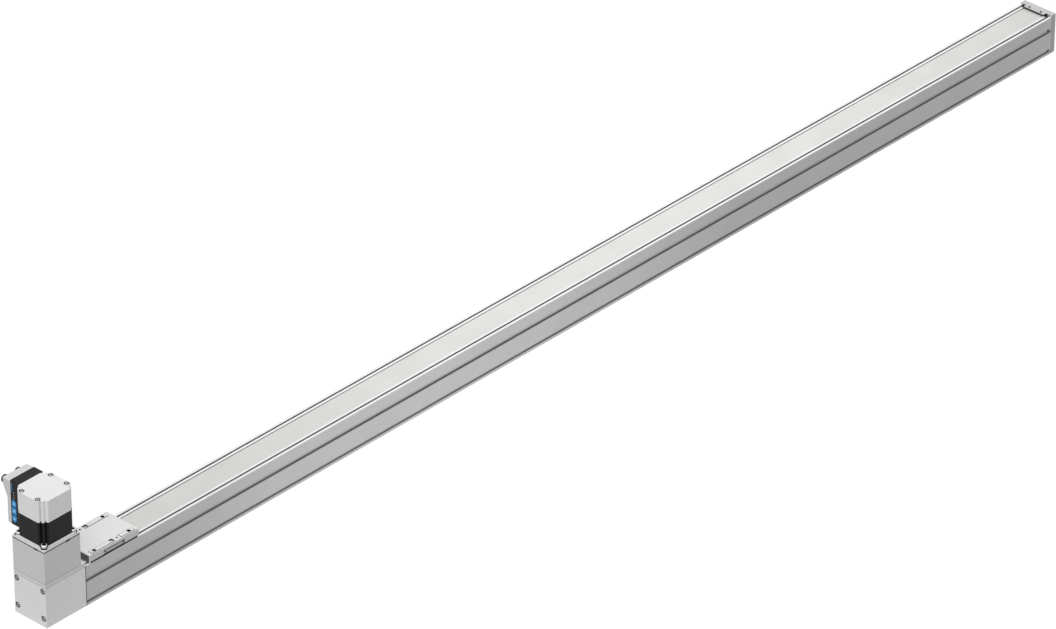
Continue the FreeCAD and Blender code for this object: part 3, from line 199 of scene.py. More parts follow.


# paints shade into the guide's colour by height, darker towards the mouths of its slots
def shadeSlots(material):
    tree = material.node_tree
    shader = tree.nodes["Principled BSDF"]
    tinted = shader.inputs["Base Color"].links[0].from_socket
    place = tree.nodes.new("ShaderNodeTexCoord")
    split = tree.nodes.new("ShaderNodeSeparateXYZ")
    limits = tree.nodes.new("ShaderNodeMapRange")
    limits.inputs["From Max"].default_value = slotShade["tall"] * mm
    ramp = tree.nodes.new("ShaderNodeValToRGB")
    stops = ramp.color_ramp.elements
    for count, (height, left) in enumerate(slotShade["steps"]):
        share = height / slotShade["tall"]
        stop = stops[count] if count < 2 else stops.new(share)    # a new ramp has two of its own
        stop.position = share
        stop.color = (left, left, left, 1)
    both = tree.nodes.new("ShaderNodeMix")
    both.data_type, both.blend_type = "RGBA", "MULTIPLY"
    both.inputs[mixSockets["share"]].default_value = 1
    wire(tree, place, "Object", split, "Vector")
    wire(tree, split, "Z", limits, "Value")
    wire(tree, limits, "Result", ramp, "Fac")
    wire(tree, ramp, "Color", both, mixSockets["second"])
    wire(tree, both, mixSockets["result"], shader, "Base Color")
    tree.links.new(tinted, both.inputs[mixSockets["first"]])


def makeMaterials():
    for name, (color, metal, low, high, stretch, scale, change, depth, gloss) in finishes.items():
        material, tree, shader = newMaterial(name)
        shader.inputs["Metallic"].default_value = metal
        shader.inputs["Specular IOR Level"].default_value = gloss
        noise = pattern(tree, stretch, scale, noiseLook["detail"])
        clouds = pattern(tree, noiseLook["cloudStretch"], noiseLook["cloudScale"], noiseLook["cloudDetail"])
        tint(tree, clouds, color, change, shader)
        roughen(tree, noise, low, high, shader)
        relief(tree, noise, depth * mm, shader)
        materials[name] = material
    shadeSlots(materials["guide_aluminium"])
    print("materials made:", len(materials))


nodeFinish = {
    # nodes whose finish isn't the one of their slot
    "guide_profile": "guide_aluminium", "coupling_housing": "housing_aluminium",
    "drive_head_cover": "cover_aluminium", "side_seals": "seal_rubber_and_shade",
}


def dressFrame():
    for part in frame["record"]["subparts"]:
        node = frame["nodes"][part["node"]]
        slot = nodeFinish.get(part["node"], part["material_slot"])
        node.data.materials.clear()
        node.data.materials.append(materials[slot])
    print("CAD nodes dressed")


def bodyOf(node):
    return frame["nodes"][node]["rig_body"]


def slotOf(node):
    return next(part["material_slot"] for part in frame["record"]["subparts"] if part["node"] == node)


creases = {"sharp": 35, "thread": 25}    # degrees between two faces from which their edge stays sharp


def finishPiece(bm, name, body, slot, finish=None, sharp=creases["sharp"]):
    # makes a mesh object of bm that rides on its body
    limit = math.radians(sharp)
    for face in bm.faces:
        face.smooth = True
    for edge in bm.edges:
        edge.smooth = len(edge.link_faces) == 2 and edge.calc_face_angle(0) < limit
    mesh = bpy.data.meshes.new(name)
    bm.to_mesh(mesh)
    bm.free()
    piece = bpy.data.objects.new(name, mesh)
    scene.collection.objects.link(piece)
    mesh.materials.append(materials[finish or slot])
    normals = piece.modifiers.new("flat faces", "WEIGHTED_NORMAL")
    normals.keep_sharp = True
    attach(piece, body)
    return piece


def addFinish(piece, finish):
    piece.data.materials.append(materials[finish])
    return len(piece.data.materials) - 1


def addTo(bm, other):
    mesh = bpy.data.meshes.new("part")
    other.to_mesh(mesh)
    other.free()
    bm.from_mesh(mesh)
    bpy.data.meshes.remove(mesh)


def layBlock(bm, low, high, edge=0.1):
    # adds a block between two corners, in metres; edge is the width of its broken edges, in mm
    made = bmesh.ops.create_cube(bm, size=1)["verts"]
    bmesh.ops.scale(bm, vec=Vector(high) - Vector(low), verts=made)
    bmesh.ops.translate(bm, vec=(Vector(low) + Vector(high)) / 2, verts=made)
    edges = list({side for vert in made for side in vert.link_edges})
    bmesh.ops.bevel(bm, geom=edges, offset=edge * mm, offset_type="OFFSET", affect="EDGES",
                    segments=1, profile=0.5, material=-1)


def turned(bm, outline, segments):
    # spins an outline of (radius, height) points, in mm, about Z and closes it
    points = [bm.verts.new((radius * mm, 0, height * mm)) for radius, height in outline]
    edges = [bm.edges.new(pair) for pair in zip(points, points[1:])]
    bmesh.ops.spin(bm, geom=points + edges, axis=(0, 0, 1), cent=(0, 0, 0), angle=math.tau,
                   steps=segments, use_merge=True)
    bmesh.ops.remove_doubles(bm, verts=bm.verts, dist=same["spun"] * mm)
    bmesh.ops.recalc_face_normals(bm, faces=bm.faces)


def addTurned(bm, outline, place, segments=32):
    one = bmesh.new()
    turned(one, outline, segments)
    bmesh.ops.transform(one, matrix=place, verts=one.verts)
    addTo(bm, one)


def band(inner, outer, low, high):
    # the outline of a ring, or of a disc where inner is 0
    outline = [(inner, low), (outer, low), (outer, high), (inner, high)]
    return outline + outline[:1] if inner else outline


def stand(seat, way):
    # stands a shape on seat, with its Z along way
    turn = Vector((0, 0, 1)).rotation_difference(Vector(way))
    return Matrix.Translation(seat) @ turn.to_matrix().to_4x4()


def seatOf(low, high, way, back=0):
    # the middle of the end face that looks along way, set back by some metres
    middle, end = (low + high) / 2, high if max(way) > 0 else low
    return Vector(end[i] - way[i] * back if way[i] else middle[i] for i in range(3))


def span(side, near, far):
    # a stretch on the low side, -1, or the high side, 1, lowest value first
    return sorted((side * near, side * far))


def solidsOf(node):
    # the lowest and highest corner of each separate solid in a CAD node
    bm = bmesh.new()
    bm.from_mesh(frame["nodes"][node].data)
    bmesh.ops.remove_doubles(bm, verts=bm.verts, dist=same["merge"] * mm)
    left = set(bm.verts)
    boxes = []
    while left:
        stack, seen = [left.pop()], []
        while stack:
            vert = stack.pop()
            seen.append(vert.co.copy())
            for edge in vert.link_edges:
                other = edge.other_vert(vert)
                if other in left:
                    left.discard(other)
                    stack.append(other)
        low = Vector(min(co[i] for co in seen) for i in range(3))
        high = Vector(max(co[i] for co in seen) for i in range(3))
        boxes.append((low, high))
    bm.free()
    return sorted(boxes, key=lambda box: tuple(box[0]))    # a set has no order of its own


softened = {
    # node: width of the broken edge, in mm
    "guide_profile": 0.35, "drive_head_housing": 0.5, "drive_head_cover": 0.35, "coupling_housing": 0.4,
    "motor_plate": 0.35, "motor_stack": 0.3, "motor_rear_housing": 0.45, "drive_box_body": 0.4,
    "drive_box_cover": 0.4, "end_cap": 0.4, "slide_plate": 0.35, "slide_end_wipers": 0.25,
    "lower_button": 0.25, "middle_button": 0.25, "upper_button": 0.25,
}
angles = {"flat": 0.6, "hard": 30}    # degrees up to which faces join, and from which an edge is broken

sideDips = {
    # the guide's side dips towards each slot: heights of the fold lines and how far in each lies, in mm
    "half": 30,
    "folds": ((45.0, 0), (42.6, 0.35), (41.0, 0.9), (40.2, 1.4), (9.0, 0), (7.4, 0.4), (6.5, 1.1)),
}


def dipSides(bm):
    for height, depth in sideDips["folds"]:
        bmesh.ops.bisect_plane(bm, geom=bm.verts[:] + bm.edges[:] + bm.faces[:], dist=same["cut"] * mm,
                               plane_co=(0, 0, height * mm), plane_no=(0, 0, 1))
        for vert in bm.verts:
            onSide = abs(abs(vert.co.y) - sideDips["half"] * mm) < same["onFold"] * mm
            if onSide and abs(vert.co.z - height * mm) < same["onFold"] * mm:
                vert.co.y -= math.copysign(depth * mm, vert.co.y)


grooves = {
    # painted shade in the slots' insides, out from the middle; height where the painted highlight on the top
    # ledges starts; heights of the slots' lips, which stay light from lipFrom outwards, in mm; an end face
    # looks along X by endFace or more
    "inner": 18, "outer": 29.8, "top": 62.0, "lips": ((40.3, 46.5), (6.6, 9.4)), "lipFrom": 28,
    "endFace": 0.5,
}


# paints shade into the slots' insides and a highlight onto the guide's top faces
def shadeGroovesLightLedges(piece):
    grooveShade, ledgeHighlight = addFinish(piece, "groove_painted_shade"), addFinish(piece, "ledge_painted_highlight")
    for face in piece.data.polygons:
        out, height = abs(face.center.y) / mm, face.center.z / mm
        lip = out > grooves["lipFrom"] and any(low < height < high for low, high in grooves["lips"])
        inside = grooves["inner"] < out < grooves["outer"] and height < grooves["top"]
        if abs(face.normal.x) < grooves["endFace"] and inside and not lip:
            face.material_index = grooveShade
        if height > grooves["top"]:
            face.material_index = ledgeHighlight


deep = {
    # node: how far in from its low and high ends along x, y and z its inside, painted with shadow, starts, in
    # mm; where it is -1, that side is open
    "slide_plate": ((0.2, 0.2), (1.7, 1.7), (0.3, 0.5)),
    "drive_head_housing": ((0.5, 67.5), (0.5, 0.5), (0.5, 0.5)),
    "end_cap": ((9.3, 0.5), (0.5, 0.5), (0.5, 0.5)),
    "motor_plate": ((-1, -1), (-1, -1), (-1, 6.05)),
    "coupling_housing": ((0.3, 0.3), (0.3, 0.3), (46, 0.05)),
    "motor_rear_housing": ((0.5, 0.5), (0.5, 0.5), (25.5, 0.3)),
}
boreFloor = {"from": 2.2, "to": 2.6, "level": 0.9}    # depths below the slide's top that stay light, in mm


def darkenDeep(piece, node):
    low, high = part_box(node)
    dark = addFinish(piece, "deep_shadow")
    for face in piece.data.polygons:
        inside = all(low[axis] + start * mm <= face.center[axis] <= high[axis] - end * mm
                     for axis, (start, end) in enumerate(deep[node]))
        down = (high.z - face.center.z) / mm
        level = node == "slide_plate" and face.normal.z > boreFloor["level"]
        if inside and not (level and boreFloor["from"] < down < boreFloor["to"]):
            face.material_index = dark


pocket = {
    # the walls of the slide's side pockets, painted with shadow: from and to, out from its middle, how far they
    # stay off its foot and its top, and half their length, in mm; a face that looks along Y by facing or more
    # is no wall
    "from": 28.6, "to": 29.7, "foot": 0.5, "top": 1.2, "half": 30, "facing": 0.5,
}


def darkenPockets(piece):
    low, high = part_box("slide_plate")
    middle = (low.x + high.x) / 2
    foot, top = low.z + pocket["foot"] * mm, high.z - pocket["top"] * mm
    for face in piece.data.polygons:
        out = abs(face.center.y) / mm
        wall = pocket["from"] < out < pocket["to"] and abs(face.normal.y) < pocket["facing"]
        if wall and foot < face.center.z < top and abs(face.center.x - middle) < pocket["half"] * mm:
            face.material_index = piece.data.materials.find("deep_shadow")


shadedSides = {
    # the sides keep a darker colour than the top, painted shade; a side's face looks along Y by more than
    # facing and lies within depth of the outside, in mm
    "finish": {"slide_plate": "anodised_aluminium", "end_cap": "cap_side_painted_shade"},
    "facing": 0.7, "depth": 0.5,
}


def paintSideShade(piece, node):
    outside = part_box(node)[1].y
    shaded = addFinish(piece, shadedSides["finish"][node])
    for face in piece.data.polygons:
        atSide = abs(face.center.y) > outside - shadedSides["depth"] * mm and face.material_index == 0
        if atSide and abs(face.normal.y) > shadedSides["facing"]:
            face.material_index = shaded


def softenEdges():
    # a copy with broken edges stands in for each outer CAD piece
    for node, width in softened.items():
        bm = bmesh.new()
        bm.from_mesh(frame["nodes"][node].data)
        bmesh.ops.remove_doubles(bm, verts=bm.verts, dist=same["merge"] * mm)
        bmesh.ops.dissolve_limit(bm, angle_limit=math.radians(angles["flat"]), verts=bm.verts,
                                 edges=bm.edges)
        if node == "guide_profile":
            dipSides(bm)
        hard = [edge for edge in bm.edges
                if len(edge.link_faces) == 2 and edge.calc_face_angle(0) > math.radians(angles["hard"])]
        bmesh.ops.bevel(bm, geom=hard, offset=width * mm, offset_type="OFFSET", affect="EDGES",
                        segments=2, profile=0.5, material=-1, clamp_overlap=True)
        low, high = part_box(node)
        for vert in bm.verts:    # a broken edge never stands out past the piece
            vert.co = [min(max(vert.co[i], low[i]), high[i]) for i in range(3)]
        slot = slotOf(node)
        piece = finishPiece(bm, f"{node}_shell", bodyOf(node), slot, nodeFinish.get(node, slot))
        if node == "guide_profile":
            shadeGroovesLightLedges(piece)
        if node in deep:
            darkenDeep(piece, node)
        if node == "slide_plate":
            darkenPockets(piece)
        if node in shadedSides["finish"]:
            paintSideShade(piece, node)
        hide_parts(node)
        print("softened", node, len(piece.data.polygons))


strip = {
    "thickness": 0.4, "edge": 0.1,
    # painted shadow line along each edge of the strip, wider on the far side: widths, how far it stands out and
    # goes in, broken edge, in mm
    "nearShadow": 0.25, "farShadow": 0.9, "proud": 0.05, "shadowDeep": 0.2, "shadowEdge": 0.03,
}


def layStrip():
    # the cover strip lies flat from end to end: the hump of the CAD strip is under the slide
    low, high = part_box("cover_strip")
    size = (high.x - low.x, high.y - low.y, strip["thickness"] * mm)
    bm = bmesh.new()
    bmesh.ops.create_cube(bm, size=1)
    bmesh.ops.scale(bm, vec=size, verts=bm.verts)
    bmesh.ops.translate(bm, vec=((low.x + high.x) / 2, 0, low.z + size[2] / 2), verts=bm.verts)
    long = [edge for edge in bm.edges if edge.calc_length() > size[0] / 2]
    bmesh.ops.bevel(bm, geom=long, offset=strip["edge"] * mm, offset_type="OFFSET", affect="EDGES",
                    segments=2, profile=0.5, material=-1)
    piece = finishPiece(bm, "cover_strip_flat", "axis_frame", "strip_steel")
    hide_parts("cover_strip")
    # painted shadow lines along the strip's edges
    bm = bmesh.new()
    top = low.z + size[2]
    under, over = top - strip["shadowDeep"] * mm, top + strip["proud"] * mm
    for edge, wide in ((low.y, strip["nearShadow"]), (high.y, -strip["farShadow"])):
        start, end = sorted((edge, edge + wide * mm))
        layBlock(bm, (low.x, start, under), (high.x, end, over), strip["shadowEdge"])
    finishPiece(bm, "cover_strip_shadow_lines", "axis_frame", "buffer_rubber", "deep_shadow")
    print("strip laid")


screws = {
    # radius and height of the head, how far it sinks, socket across flats, radius and length of the
    # shank, in mm; the way its head looks
    "head_screws": {"head": 2.8, "tall": 4.4, "sunk": -0.1, "across": 3.0, "shank": 2.3, "long": 12,
                    "way": (-1, 0, 0), "finish": "bright_steel"},
    "motor_flange_screws": {"head": 4.25, "tall": 5.0, "sunk": 0, "across": 5.2, "shank": 2.3, "long": 12,
                            "way": (0, 0, 1), "finish": "bright_steel"},
    "end_cap_screws": {"head": 2.8, "tall": 4.0, "sunk": -0.1, "across": 3.0, "shank": 2.3, "long": 12,
                       "way": (1, 0, 0), "finish": "bright_steel"},
    "motor_cover_screws": {"head": 2.6, "tall": 0.6, "sunk": -0.1, "across": 2.4, "shank": 1.2, "long": 6,
                           "way": (0, 0, 1), "finish": "bright_steel"},
    "strip_clamp_screws": {"head": 1.6, "tall": 0.9, "sunk": -0.3, "across": 1.4, "shank": 0.9, "long": 3,
                           "way": (0, 0, 1), "finish": "dark_screw_steel"},
    "tension_screw": {"head": 4.25, "tall": 4.0, "sunk": 0, "across": 4.0, "shank": 2.3, "long": 8,
                      "way": (1, 0, 0), "finish": "screw_steel"},
}
screwShape = {
    # in parts of the head's radius, of the shank's radius, or of the head's height
    "edge": 0.07, "tip": 0.8, "tipTall": 0.2, "socketDeep": 0.55,
    "inset": 0.3, "cone": 0.3,    # the socket's first ring in parts of its width; its drilled tip, in mm
    "segments": 24,
}


def hexSocket(bm, top, across, depth):
    # sinks a hexagon socket, painted with shadow inside, into the round face at height top
    ends = [face for face in bm.faces if len(face.verts) == screwShape["segments"]]
    face = max(ends, key=lambda end: end.calc_center_median().z)
    bmesh.ops.inset_individual(bm, faces=[face], thickness=across * screwShape["inset"] * mm, depth=0)
    for vert in face.verts:
        angle = math.atan2(vert.co.y, vert.co.x)
        fold = (angle + math.pi / 6) % (math.pi / 3) - math.pi / 6    # from the middle of the nearest flat
        reach = across / 2 / math.cos(fold) * mm
        vert.co = (reach * math.cos(angle), reach * math.sin(angle), top * mm)
    before = set(bm.faces) - {face}
    sunk = bmesh.ops.extrude_discrete_faces(bm, faces=[face])["faces"]
    bmesh.ops.translate(bm, vec=(0, 0, -depth * mm), verts=sunk[0].verts)
    bmesh.ops.poke(bm, faces=sunk, offset=-screwShape["cone"] * mm)
    for made in set(bm.faces) - before:
        made.material_index = 1


def capScrew(bm, screw):
    # the head's seat is at the origin and the shank points down
    head, tall, shank, long = screw["head"], screw["tall"], screw["shank"], screw["long"]
    edge, segments = head * screwShape["edge"], screwShape["segments"]
    outline = [(0, -long), (shank * screwShape["tip"], -long),
               (shank, -long + shank * screwShape["tipTall"]), (shank, 0),
               (head - edge, 0), (head, edge), (head, tall - edge * 2), (head - edge * 2, tall)]
    turned(bm, outline, segments)
    rim = [side for side in bm.edges if len(side.link_faces) == 1]
    bmesh.ops.holes_fill(bm, edges=rim, sides=segments)
    hexSocket(bm, tall, screw["across"], tall * screwShape["socketDeep"])


def fitScrews():
    for node, screw in screws.items():
        bm = bmesh.new()
        way, back = Vector(screw["way"]), (screw["tall"] + screw["sunk"]) * mm
        for low, high in solidsOf(node):
            one = bmesh.new()
            capScrew(one, screw)
            place = stand(seatOf(low, high, way, back), way)
            bmesh.ops.transform(one, matrix=place, verts=one.verts)
            addTo(bm, one)
        piece = finishPiece(bm, f"{node}_socket_heads", bodyOf(node), "screw_steel", screw["finish"])
        addFinish(piece, "deep_shadow")
        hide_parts(node)
    print("screws fitted:", len(screws))


notch_shade_washers = {
    # radii, thickness, how far in the broken edge starts, in mm, and the share of the thickness below it
    "outer": 6.2, "inner": 4.4, "thick": 0.9, "edgeIn": 0.2, "edgeFrom": 0.8,
}


def layNotchShadeWashers():
    # washer-shaped dark rings under the heads of the motor's flange screws, painted shade of the plate's corner
    # notches
    outer, inner, thick = notch_shade_washers["outer"], notch_shade_washers["inner"], notch_shade_washers["thick"]
    outline = [(inner, 0), (outer, 0), (outer, thick * notch_shade_washers["edgeFrom"]),
               (outer - notch_shade_washers["edgeIn"], thick), (inner, thick), (inner, 0)]
    height = screws["motor_flange_screws"]["tall"] * mm
    bm = bmesh.new()
    for low, high in solidsOf("motor_flange_screws"):
        addTurned(bm, outline, Matrix.Translation(seatOf(low, high, Vector((0, 0, 1)), height)))
    finishPiece(bm, "motor_flange_washers", "axis_frame", "screw_steel", "dark_screw_steel")
    print("washers laid")


shadow_rims = {
    # painted shadow round each flush screw, in its counterbore: outer radius, how far it goes in and stands
    # out, in mm
    "outer": {"motor_cover_screws": 3.9, "head_screws": 4.25, "end_cap_screws": 3.95},
    "deep": 0.4, "high": 0.05,
}


def shadeScrewRims():
    deepEnd, top = -shadow_rims["deep"], shadow_rims["high"]
    for node, outer in shadow_rims["outer"].items():
        outline = [(0, deepEnd), (outer, deepEnd), (outer, top / 2), (outer - top, top), (0, top)]
        way = Vector(screws[node]["way"])
        bm = bmesh.new()
        for low, high in solidsOf(node):
            addTurned(bm, outline, stand(seatOf(low, high, way), way))
        finishPiece(bm, f"{node}_rims", bodyOf(node), "screw_steel", "deep_shadow")
    print("screws rimmed:", len(shadow_rims["outer"]))


beads = {
    # the rounded ridge in each cut corner: radius, how far it sinks past the cut, length of the cut,
    # where it starts above the black stack's foot and ends below the top, in mm
    "radius": 2.3, "sunk": 1.5, "cut": 10.4, "above": 2.6, "below": 0.1, "segments": 24,
}


def layBeads():
    reach = (beads["cut"] / 2 + beads["sunk"] / math.sqrt(2)) * mm
    for node, finish, above in (("motor_stack", "black_coating", beads["above"]),
                                ("motor_rear_housing", "light_casting", 0)):
        low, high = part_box(node)
        outline = band(0, beads["radius"], low.z / mm + above, high.z / mm - beads["below"])
        bm = bmesh.new()
        for x in (low.x + reach, high.x - reach):
            for y in (low.y + reach, high.y - reach):
                addTurned(bm, outline, Matrix.Translation((x, y, 0)), beads["segments"])
        finishPiece(bm, f"{node}_corner_beads", "axis_frame", slotOf(node), finish)
    print("corner beads laid")


sockets = {
    # radii and heights from the housing outwards, in mm
    "flange": 7.2, "flangeThick": 1.2, "flangeEdge": 0.15, "length": 6.0,
    "cup": 4.6, "cupEdge": 0.15, "cupDepth": 3.0, "segments": 40,
    # thread: outer and root radius, pitch, clear at foot and end; a ridge's corners in parts of the pitch
    "outer": 6.0, "root": 5.55, "pitch": 0.9, "clearFoot": 0.3, "clearEnd": 0.4, "ridge": (0.4, 0.5, 0.9),
    # pins: circle, radius, the tip's share of it, how far shoulder and tip stay in, first one's angle
    "pinCircle": 2.3, "pinRadius": 0.45, "pinTip": 0.5, "pinSunk": 0.2, "shoulderIn": 1.0, "tipIn": 0.7,
    "firstPin": 0.4, "pinSegments": 10,
    "pins": {"power_connector": 4, "logic_connector": 8},
}


def socketOutline(floor):
    # flange, outside thread, rim and cup, from the housing outwards and back in
    flange, thick, edge = sockets["flange"], sockets["flangeThick"], sockets["flangeEdge"]
    outer, root, pitch, length = sockets["outer"], sockets["root"], sockets["pitch"], sockets["length"]
    cup, cupEdge = sockets["cup"], sockets["cupEdge"]
    outline = [(0, 0), (flange, 0), (flange, thick - edge), (flange - edge, thick), (root, thick)]
    height = thick + sockets["clearFoot"]
    while height + pitch < length - sockets["clearEnd"]:
        rise, crest, fall = (height + pitch * share for share in sockets["ridge"])
        outline += [(root, height), (outer, rise), (outer, crest), (root, fall)]
        height += pitch
    outline += [(root, length), (cup + cupEdge, length), (cup, length - cupEdge)]
    return outline + [(cup, floor), (0, floor)]


def makeSockets():
    # round sockets with an outside thread, a cup and contact pins
    toY = Matrix.Rotation(-math.pi / 2, 4, "X")
    length, thin, across = sockets["length"], sockets["pinRadius"], sockets["pinCircle"] * mm
    floor = length - sockets["cupDepth"]
    foot, tip = floor - sockets["pinSunk"], length - sockets["tipIn"]
    pin = [(0, foot), (thin, foot), (thin, length - sockets["shoulderIn"]), (thin * sockets["pinTip"], tip),
           (0, tip)]
    for node, count in sockets["pins"].items():
        low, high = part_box(node)
        place = Matrix.Translation(((low.x + high.x) / 2, low.y, (low.z + high.z) / 2)) @ toY
        bm = bmesh.new()
        addTurned(bm, socketOutline(floor), place, sockets["segments"])
        piece = finishPiece(bm, f"{node}_thread", bodyOf(node), "connector_dark", sharp=creases["thread"])
        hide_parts(node)
        bm = bmesh.new()
        for step in range(count):
            angle = math.tau * step / count + sockets["firstPin"]
            onCircle = Matrix.Translation((across * math.cos(angle), across * math.sin(angle), 0))
            addTurned(bm, pin, onCircle, sockets["pinSegments"])
        bmesh.ops.transform(bm, matrix=place, verts=bm.verts)
        finishPiece(bm, f"{node}_pins", bodyOf(node), "connector_dark", "contact_gold")
    print("sockets made")


marks = {
    # how far a mark stands out and goes in, inner and outer radius of the ring and the dot, width, height
    # and spacing of the bars, broken edge, in mm
    "thin": 0.07, "deep": 0.1, "upper_button": (1.15, 1.7), "lower_button": (0, 1.25),
    "middle_button": (3.2, 0.55, 1.15), "edge": 0.02, "segments": 28,
}


def markButtons():
    # a plain ring, three bars and a dot, one on each button
    thin = marks["thin"]
    for node in ("upper_button", "middle_button", "lower_button"):
        low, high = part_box(node)
        place = Vector((low.x, (low.y + high.y) / 2, (low.z + high.z) / 2))
        bm = bmesh.new()
        if node == "middle_button":
            wide, tall, apart = marks[node]
            reach = Vector((0, wide / 2 * mm, tall / 2 * mm))
            for step in (-1, 0, 1):
                middle = place + Vector((0, 0, step * apart * mm))
                layBlock(bm, middle - reach - Vector((thin * mm, 0, 0)), middle + reach, marks["edge"])
        else:
            outline = band(*marks[node], -marks["deep"], thin)
            addTurned(bm, outline, stand(place, (-1, 0, 0)), marks["segments"])
        finishPiece(bm, f"{node}_mark", bodyOf(node), "grey_plastic", "mark_white")
    print("buttons marked")


# the blue bar on the drive box, in mm
stripe = {"fromWall": (1.4, 3.0), "fromTop": (3.9, 17.5), "proud": 0.12, "into": 0.5, "edge": 0.1}


def layStripe():
    low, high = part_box("drive_box_body")
    near, far = (high.y - step * mm for step in stripe["fromWall"])
    top, bottom = (high.z - step * mm for step in stripe["fromTop"])
    bm = bmesh.new()
    layBlock(bm, (low.x - stripe["proud"] * mm, far, bottom), (low.x + stripe["into"] * mm, near, top),
             stripe["edge"])
    finishPiece(bm, "drive_box_stripe", "axis_frame", "button_blue", "stripe_blue")
    print("stripe laid")


sealLips = {"outward": 0.57, "down": 0.35, "up": 1.0, "edge": 0.15}    # past the CAD seals, in mm


def layLips():
    # black seals close the gap between the slide and the guide; grown past the CAD seals and near black, they
    # also paint the shade in that gap
    bm = bmesh.new()
    for low, high in solidsOf("side_seals"):
        low.z -= sealLips["down"] * mm
        high.z += sealLips["up"] * mm
        if low.y > 0:
            high.y += sealLips["outward"] * mm
        else:
            low.y -= sealLips["outward"] * mm
        layBlock(bm, low, high, sealLips["edge"])
    piece = finishPiece(bm, "side_seal_lips", bodyOf("side_seals"), "wiper_plastic", "seal_rubber_and_shade")
    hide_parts("side_seals")
    print("seal lips laid")


lids = {
    # length, height and thickness of the dark backing in each side pocket of the slide, painted shadow round
    # the lid, and of the cover plate before it, and how far each drops; the backing's foot, the wall's depth,
    # how far both go in, in mm
    "shadowBack": (38.9, 5.7, 1.0, 0), "plate": (38.1, 3.9, 1.25, 0.7),
    "foot": 1.05, "wall": 1.5, "into": 0.2, "edge": 0.12,
    # a plug at each end: distance from the middle, radius and height of each corner
    "plugs": 16.6, "plugSegments": 20,
    "plugOutline": ((0, -0.5), (1.3, -0.5), (1.3, 0.1), (1.1, 0.15), (0.8, 0.05), (0, 0.05)),
}


def fitLids():
    low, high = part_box("slide_plate")
    middle, wall = (low.x + high.x) / 2, high.y - lids["wall"] * mm
    centre = low.z + (lids["foot"] + lids["shadowBack"][1] / 2) * mm
    front = wall + lids["plate"][2] * mm
    shadowBack, plate, plugs = bmesh.new(), bmesh.new(), bmesh.new()
    for side in (-1, 1):
        for bm, (long, tall, thick, drop) in ((shadowBack, lids["shadowBack"]), (plate, lids["plate"])):
            back, face = span(side, wall - lids["into"] * mm, wall + thick * mm)
            half, up, level = long / 2 * mm, tall / 2 * mm, centre - drop * mm
            layBlock(bm, (middle - half, back, level - up), (middle + half, face, level + up), lids["edge"])
        for end in (-1, 1):
            seat = Vector((middle + end * lids["plugs"] * mm, side * front, centre))
            addTurned(plugs, lids["plugOutline"], stand(seat, (0, side, 0)), lids["plugSegments"])
    finishPiece(shadowBack, "slide_pocket_shadow_backs", "slide", "wiper_plastic", "seal_rubber_and_shade")
    finishPiece(plate, "slide_pocket_lids", "slide", "grey_plastic", "lid_plastic")
    finishPiece(plugs, "slide_pocket_plugs", "slide", "wiper_plastic", "seal_rubber_and_shade")
    print("lids fitted")


# painted shade rings at small holes and screws
rings = {"deep": 0.3, "proud": 0.03, "segments": 24}    # dark rings at small holes and screws, in mm


def ring(bm, inner, outer, place):
    outline = band(inner, outer, -rings["deep"], rings["proud"])
    addTurned(bm, outline, Matrix.Translation(place), rings["segments"])


slideShadeLines = {
    # painted shade rings at the holes' chamfers: distance along X, inner and outer radius; row along Y, in mm
    "threads": (32, 2.0, 2.75), "pins": (10, 0.95, 1.6), "row": 24.8,
    # pads on the row at -Y, from and to along X (the other row is turned end for end), half their width
    # and their height
    "pads": ((-39, 3), (15.5, 40)), "padWide": 3.25, "padHigh": 0.4,
    # the painted shade line round a pad: width, how far it goes in and stands out, broken edge
    "line": 0.7, "deep": 0.2, "proud": 0.03, "edge": 0.02,
}


def linePad(bm, middle, left, right, near, far, flat):
    # four bars of painted shade round a pad
    line = slideShadeLines["line"]
    under, over = flat - slideShadeLines["deep"] * mm, flat + slideShadeLines["proud"] * mm
    for x0, y0, x1, y1 in ((left - line, near - line, right + line, near),
                           (left - line, far, right + line, far + line),
                           (left - line, near, left, far),
                           (right, near, right + line, far)):
        layBlock(bm, (middle + x0 * mm, y0 * mm, under), (middle + x1 * mm, y1 * mm, over),
                 slideShadeLines["edge"])


def lineSlide():
    # painted shade lines round the pads and painted shade rings at the small holes' chamfers
    low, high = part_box("slide_plate")
    middle, flat = (low.x + high.x) / 2, high.z - slideShadeLines["padHigh"] * mm
    row, wide = slideShadeLines["row"], slideShadeLines["padWide"]
    bm = bmesh.new()
    for side in (-1, 1):
        along, inner, outer = slideShadeLines["threads"]
        for end in (-1, 1):
            ring(bm, inner, outer, (middle + end * along * mm, side * row * mm, high.z))
        along, inner, outer = slideShadeLines["pins"]
        ring(bm, inner, outer, (middle - side * along * mm, side * row * mm, flat))
        for pad in slideShadeLines["pads"]:
            linePad(bm, middle, *span(-side, *pad), side * row - wide, side * row + wide, flat)
    finishPiece(bm, "slide_shade_lines", "slide", "buffer_rubber", "deep_shadow")
    print("slide lined")


capShade = {
    # black painted shadow line before the end cap, over the strip: thickness, height, in from the strip's
    # edges, into the cap, in mm
    "thick": 0.9, "high": 1.9, "inset": 0.4, "into": 0.3, "edge": 0.2,
    # painted shadow block at each notched corner: length, width and height, and how far it goes into the guide
    "notchShadow": (4.6, 4.2, 3.0), "notchShadowDeep": 0.3,
    # painted shade blocks in the ends of the guide's slots: length, heights from and to, into the side, proud
    # of it
    "slotShadeLong": 3.2, "plugs": ((6.4, 9.2), (40.4, 44.2)), "slotShadeDeep": 2, "slotShadeProud": 0.06, "slotShadeEdge": 0.3,
    # painted shade rings round the clamp screws
    "screwShadeRing": (1.0, 2.1),    # inner and outer radius of the ring round each clamp screw
}
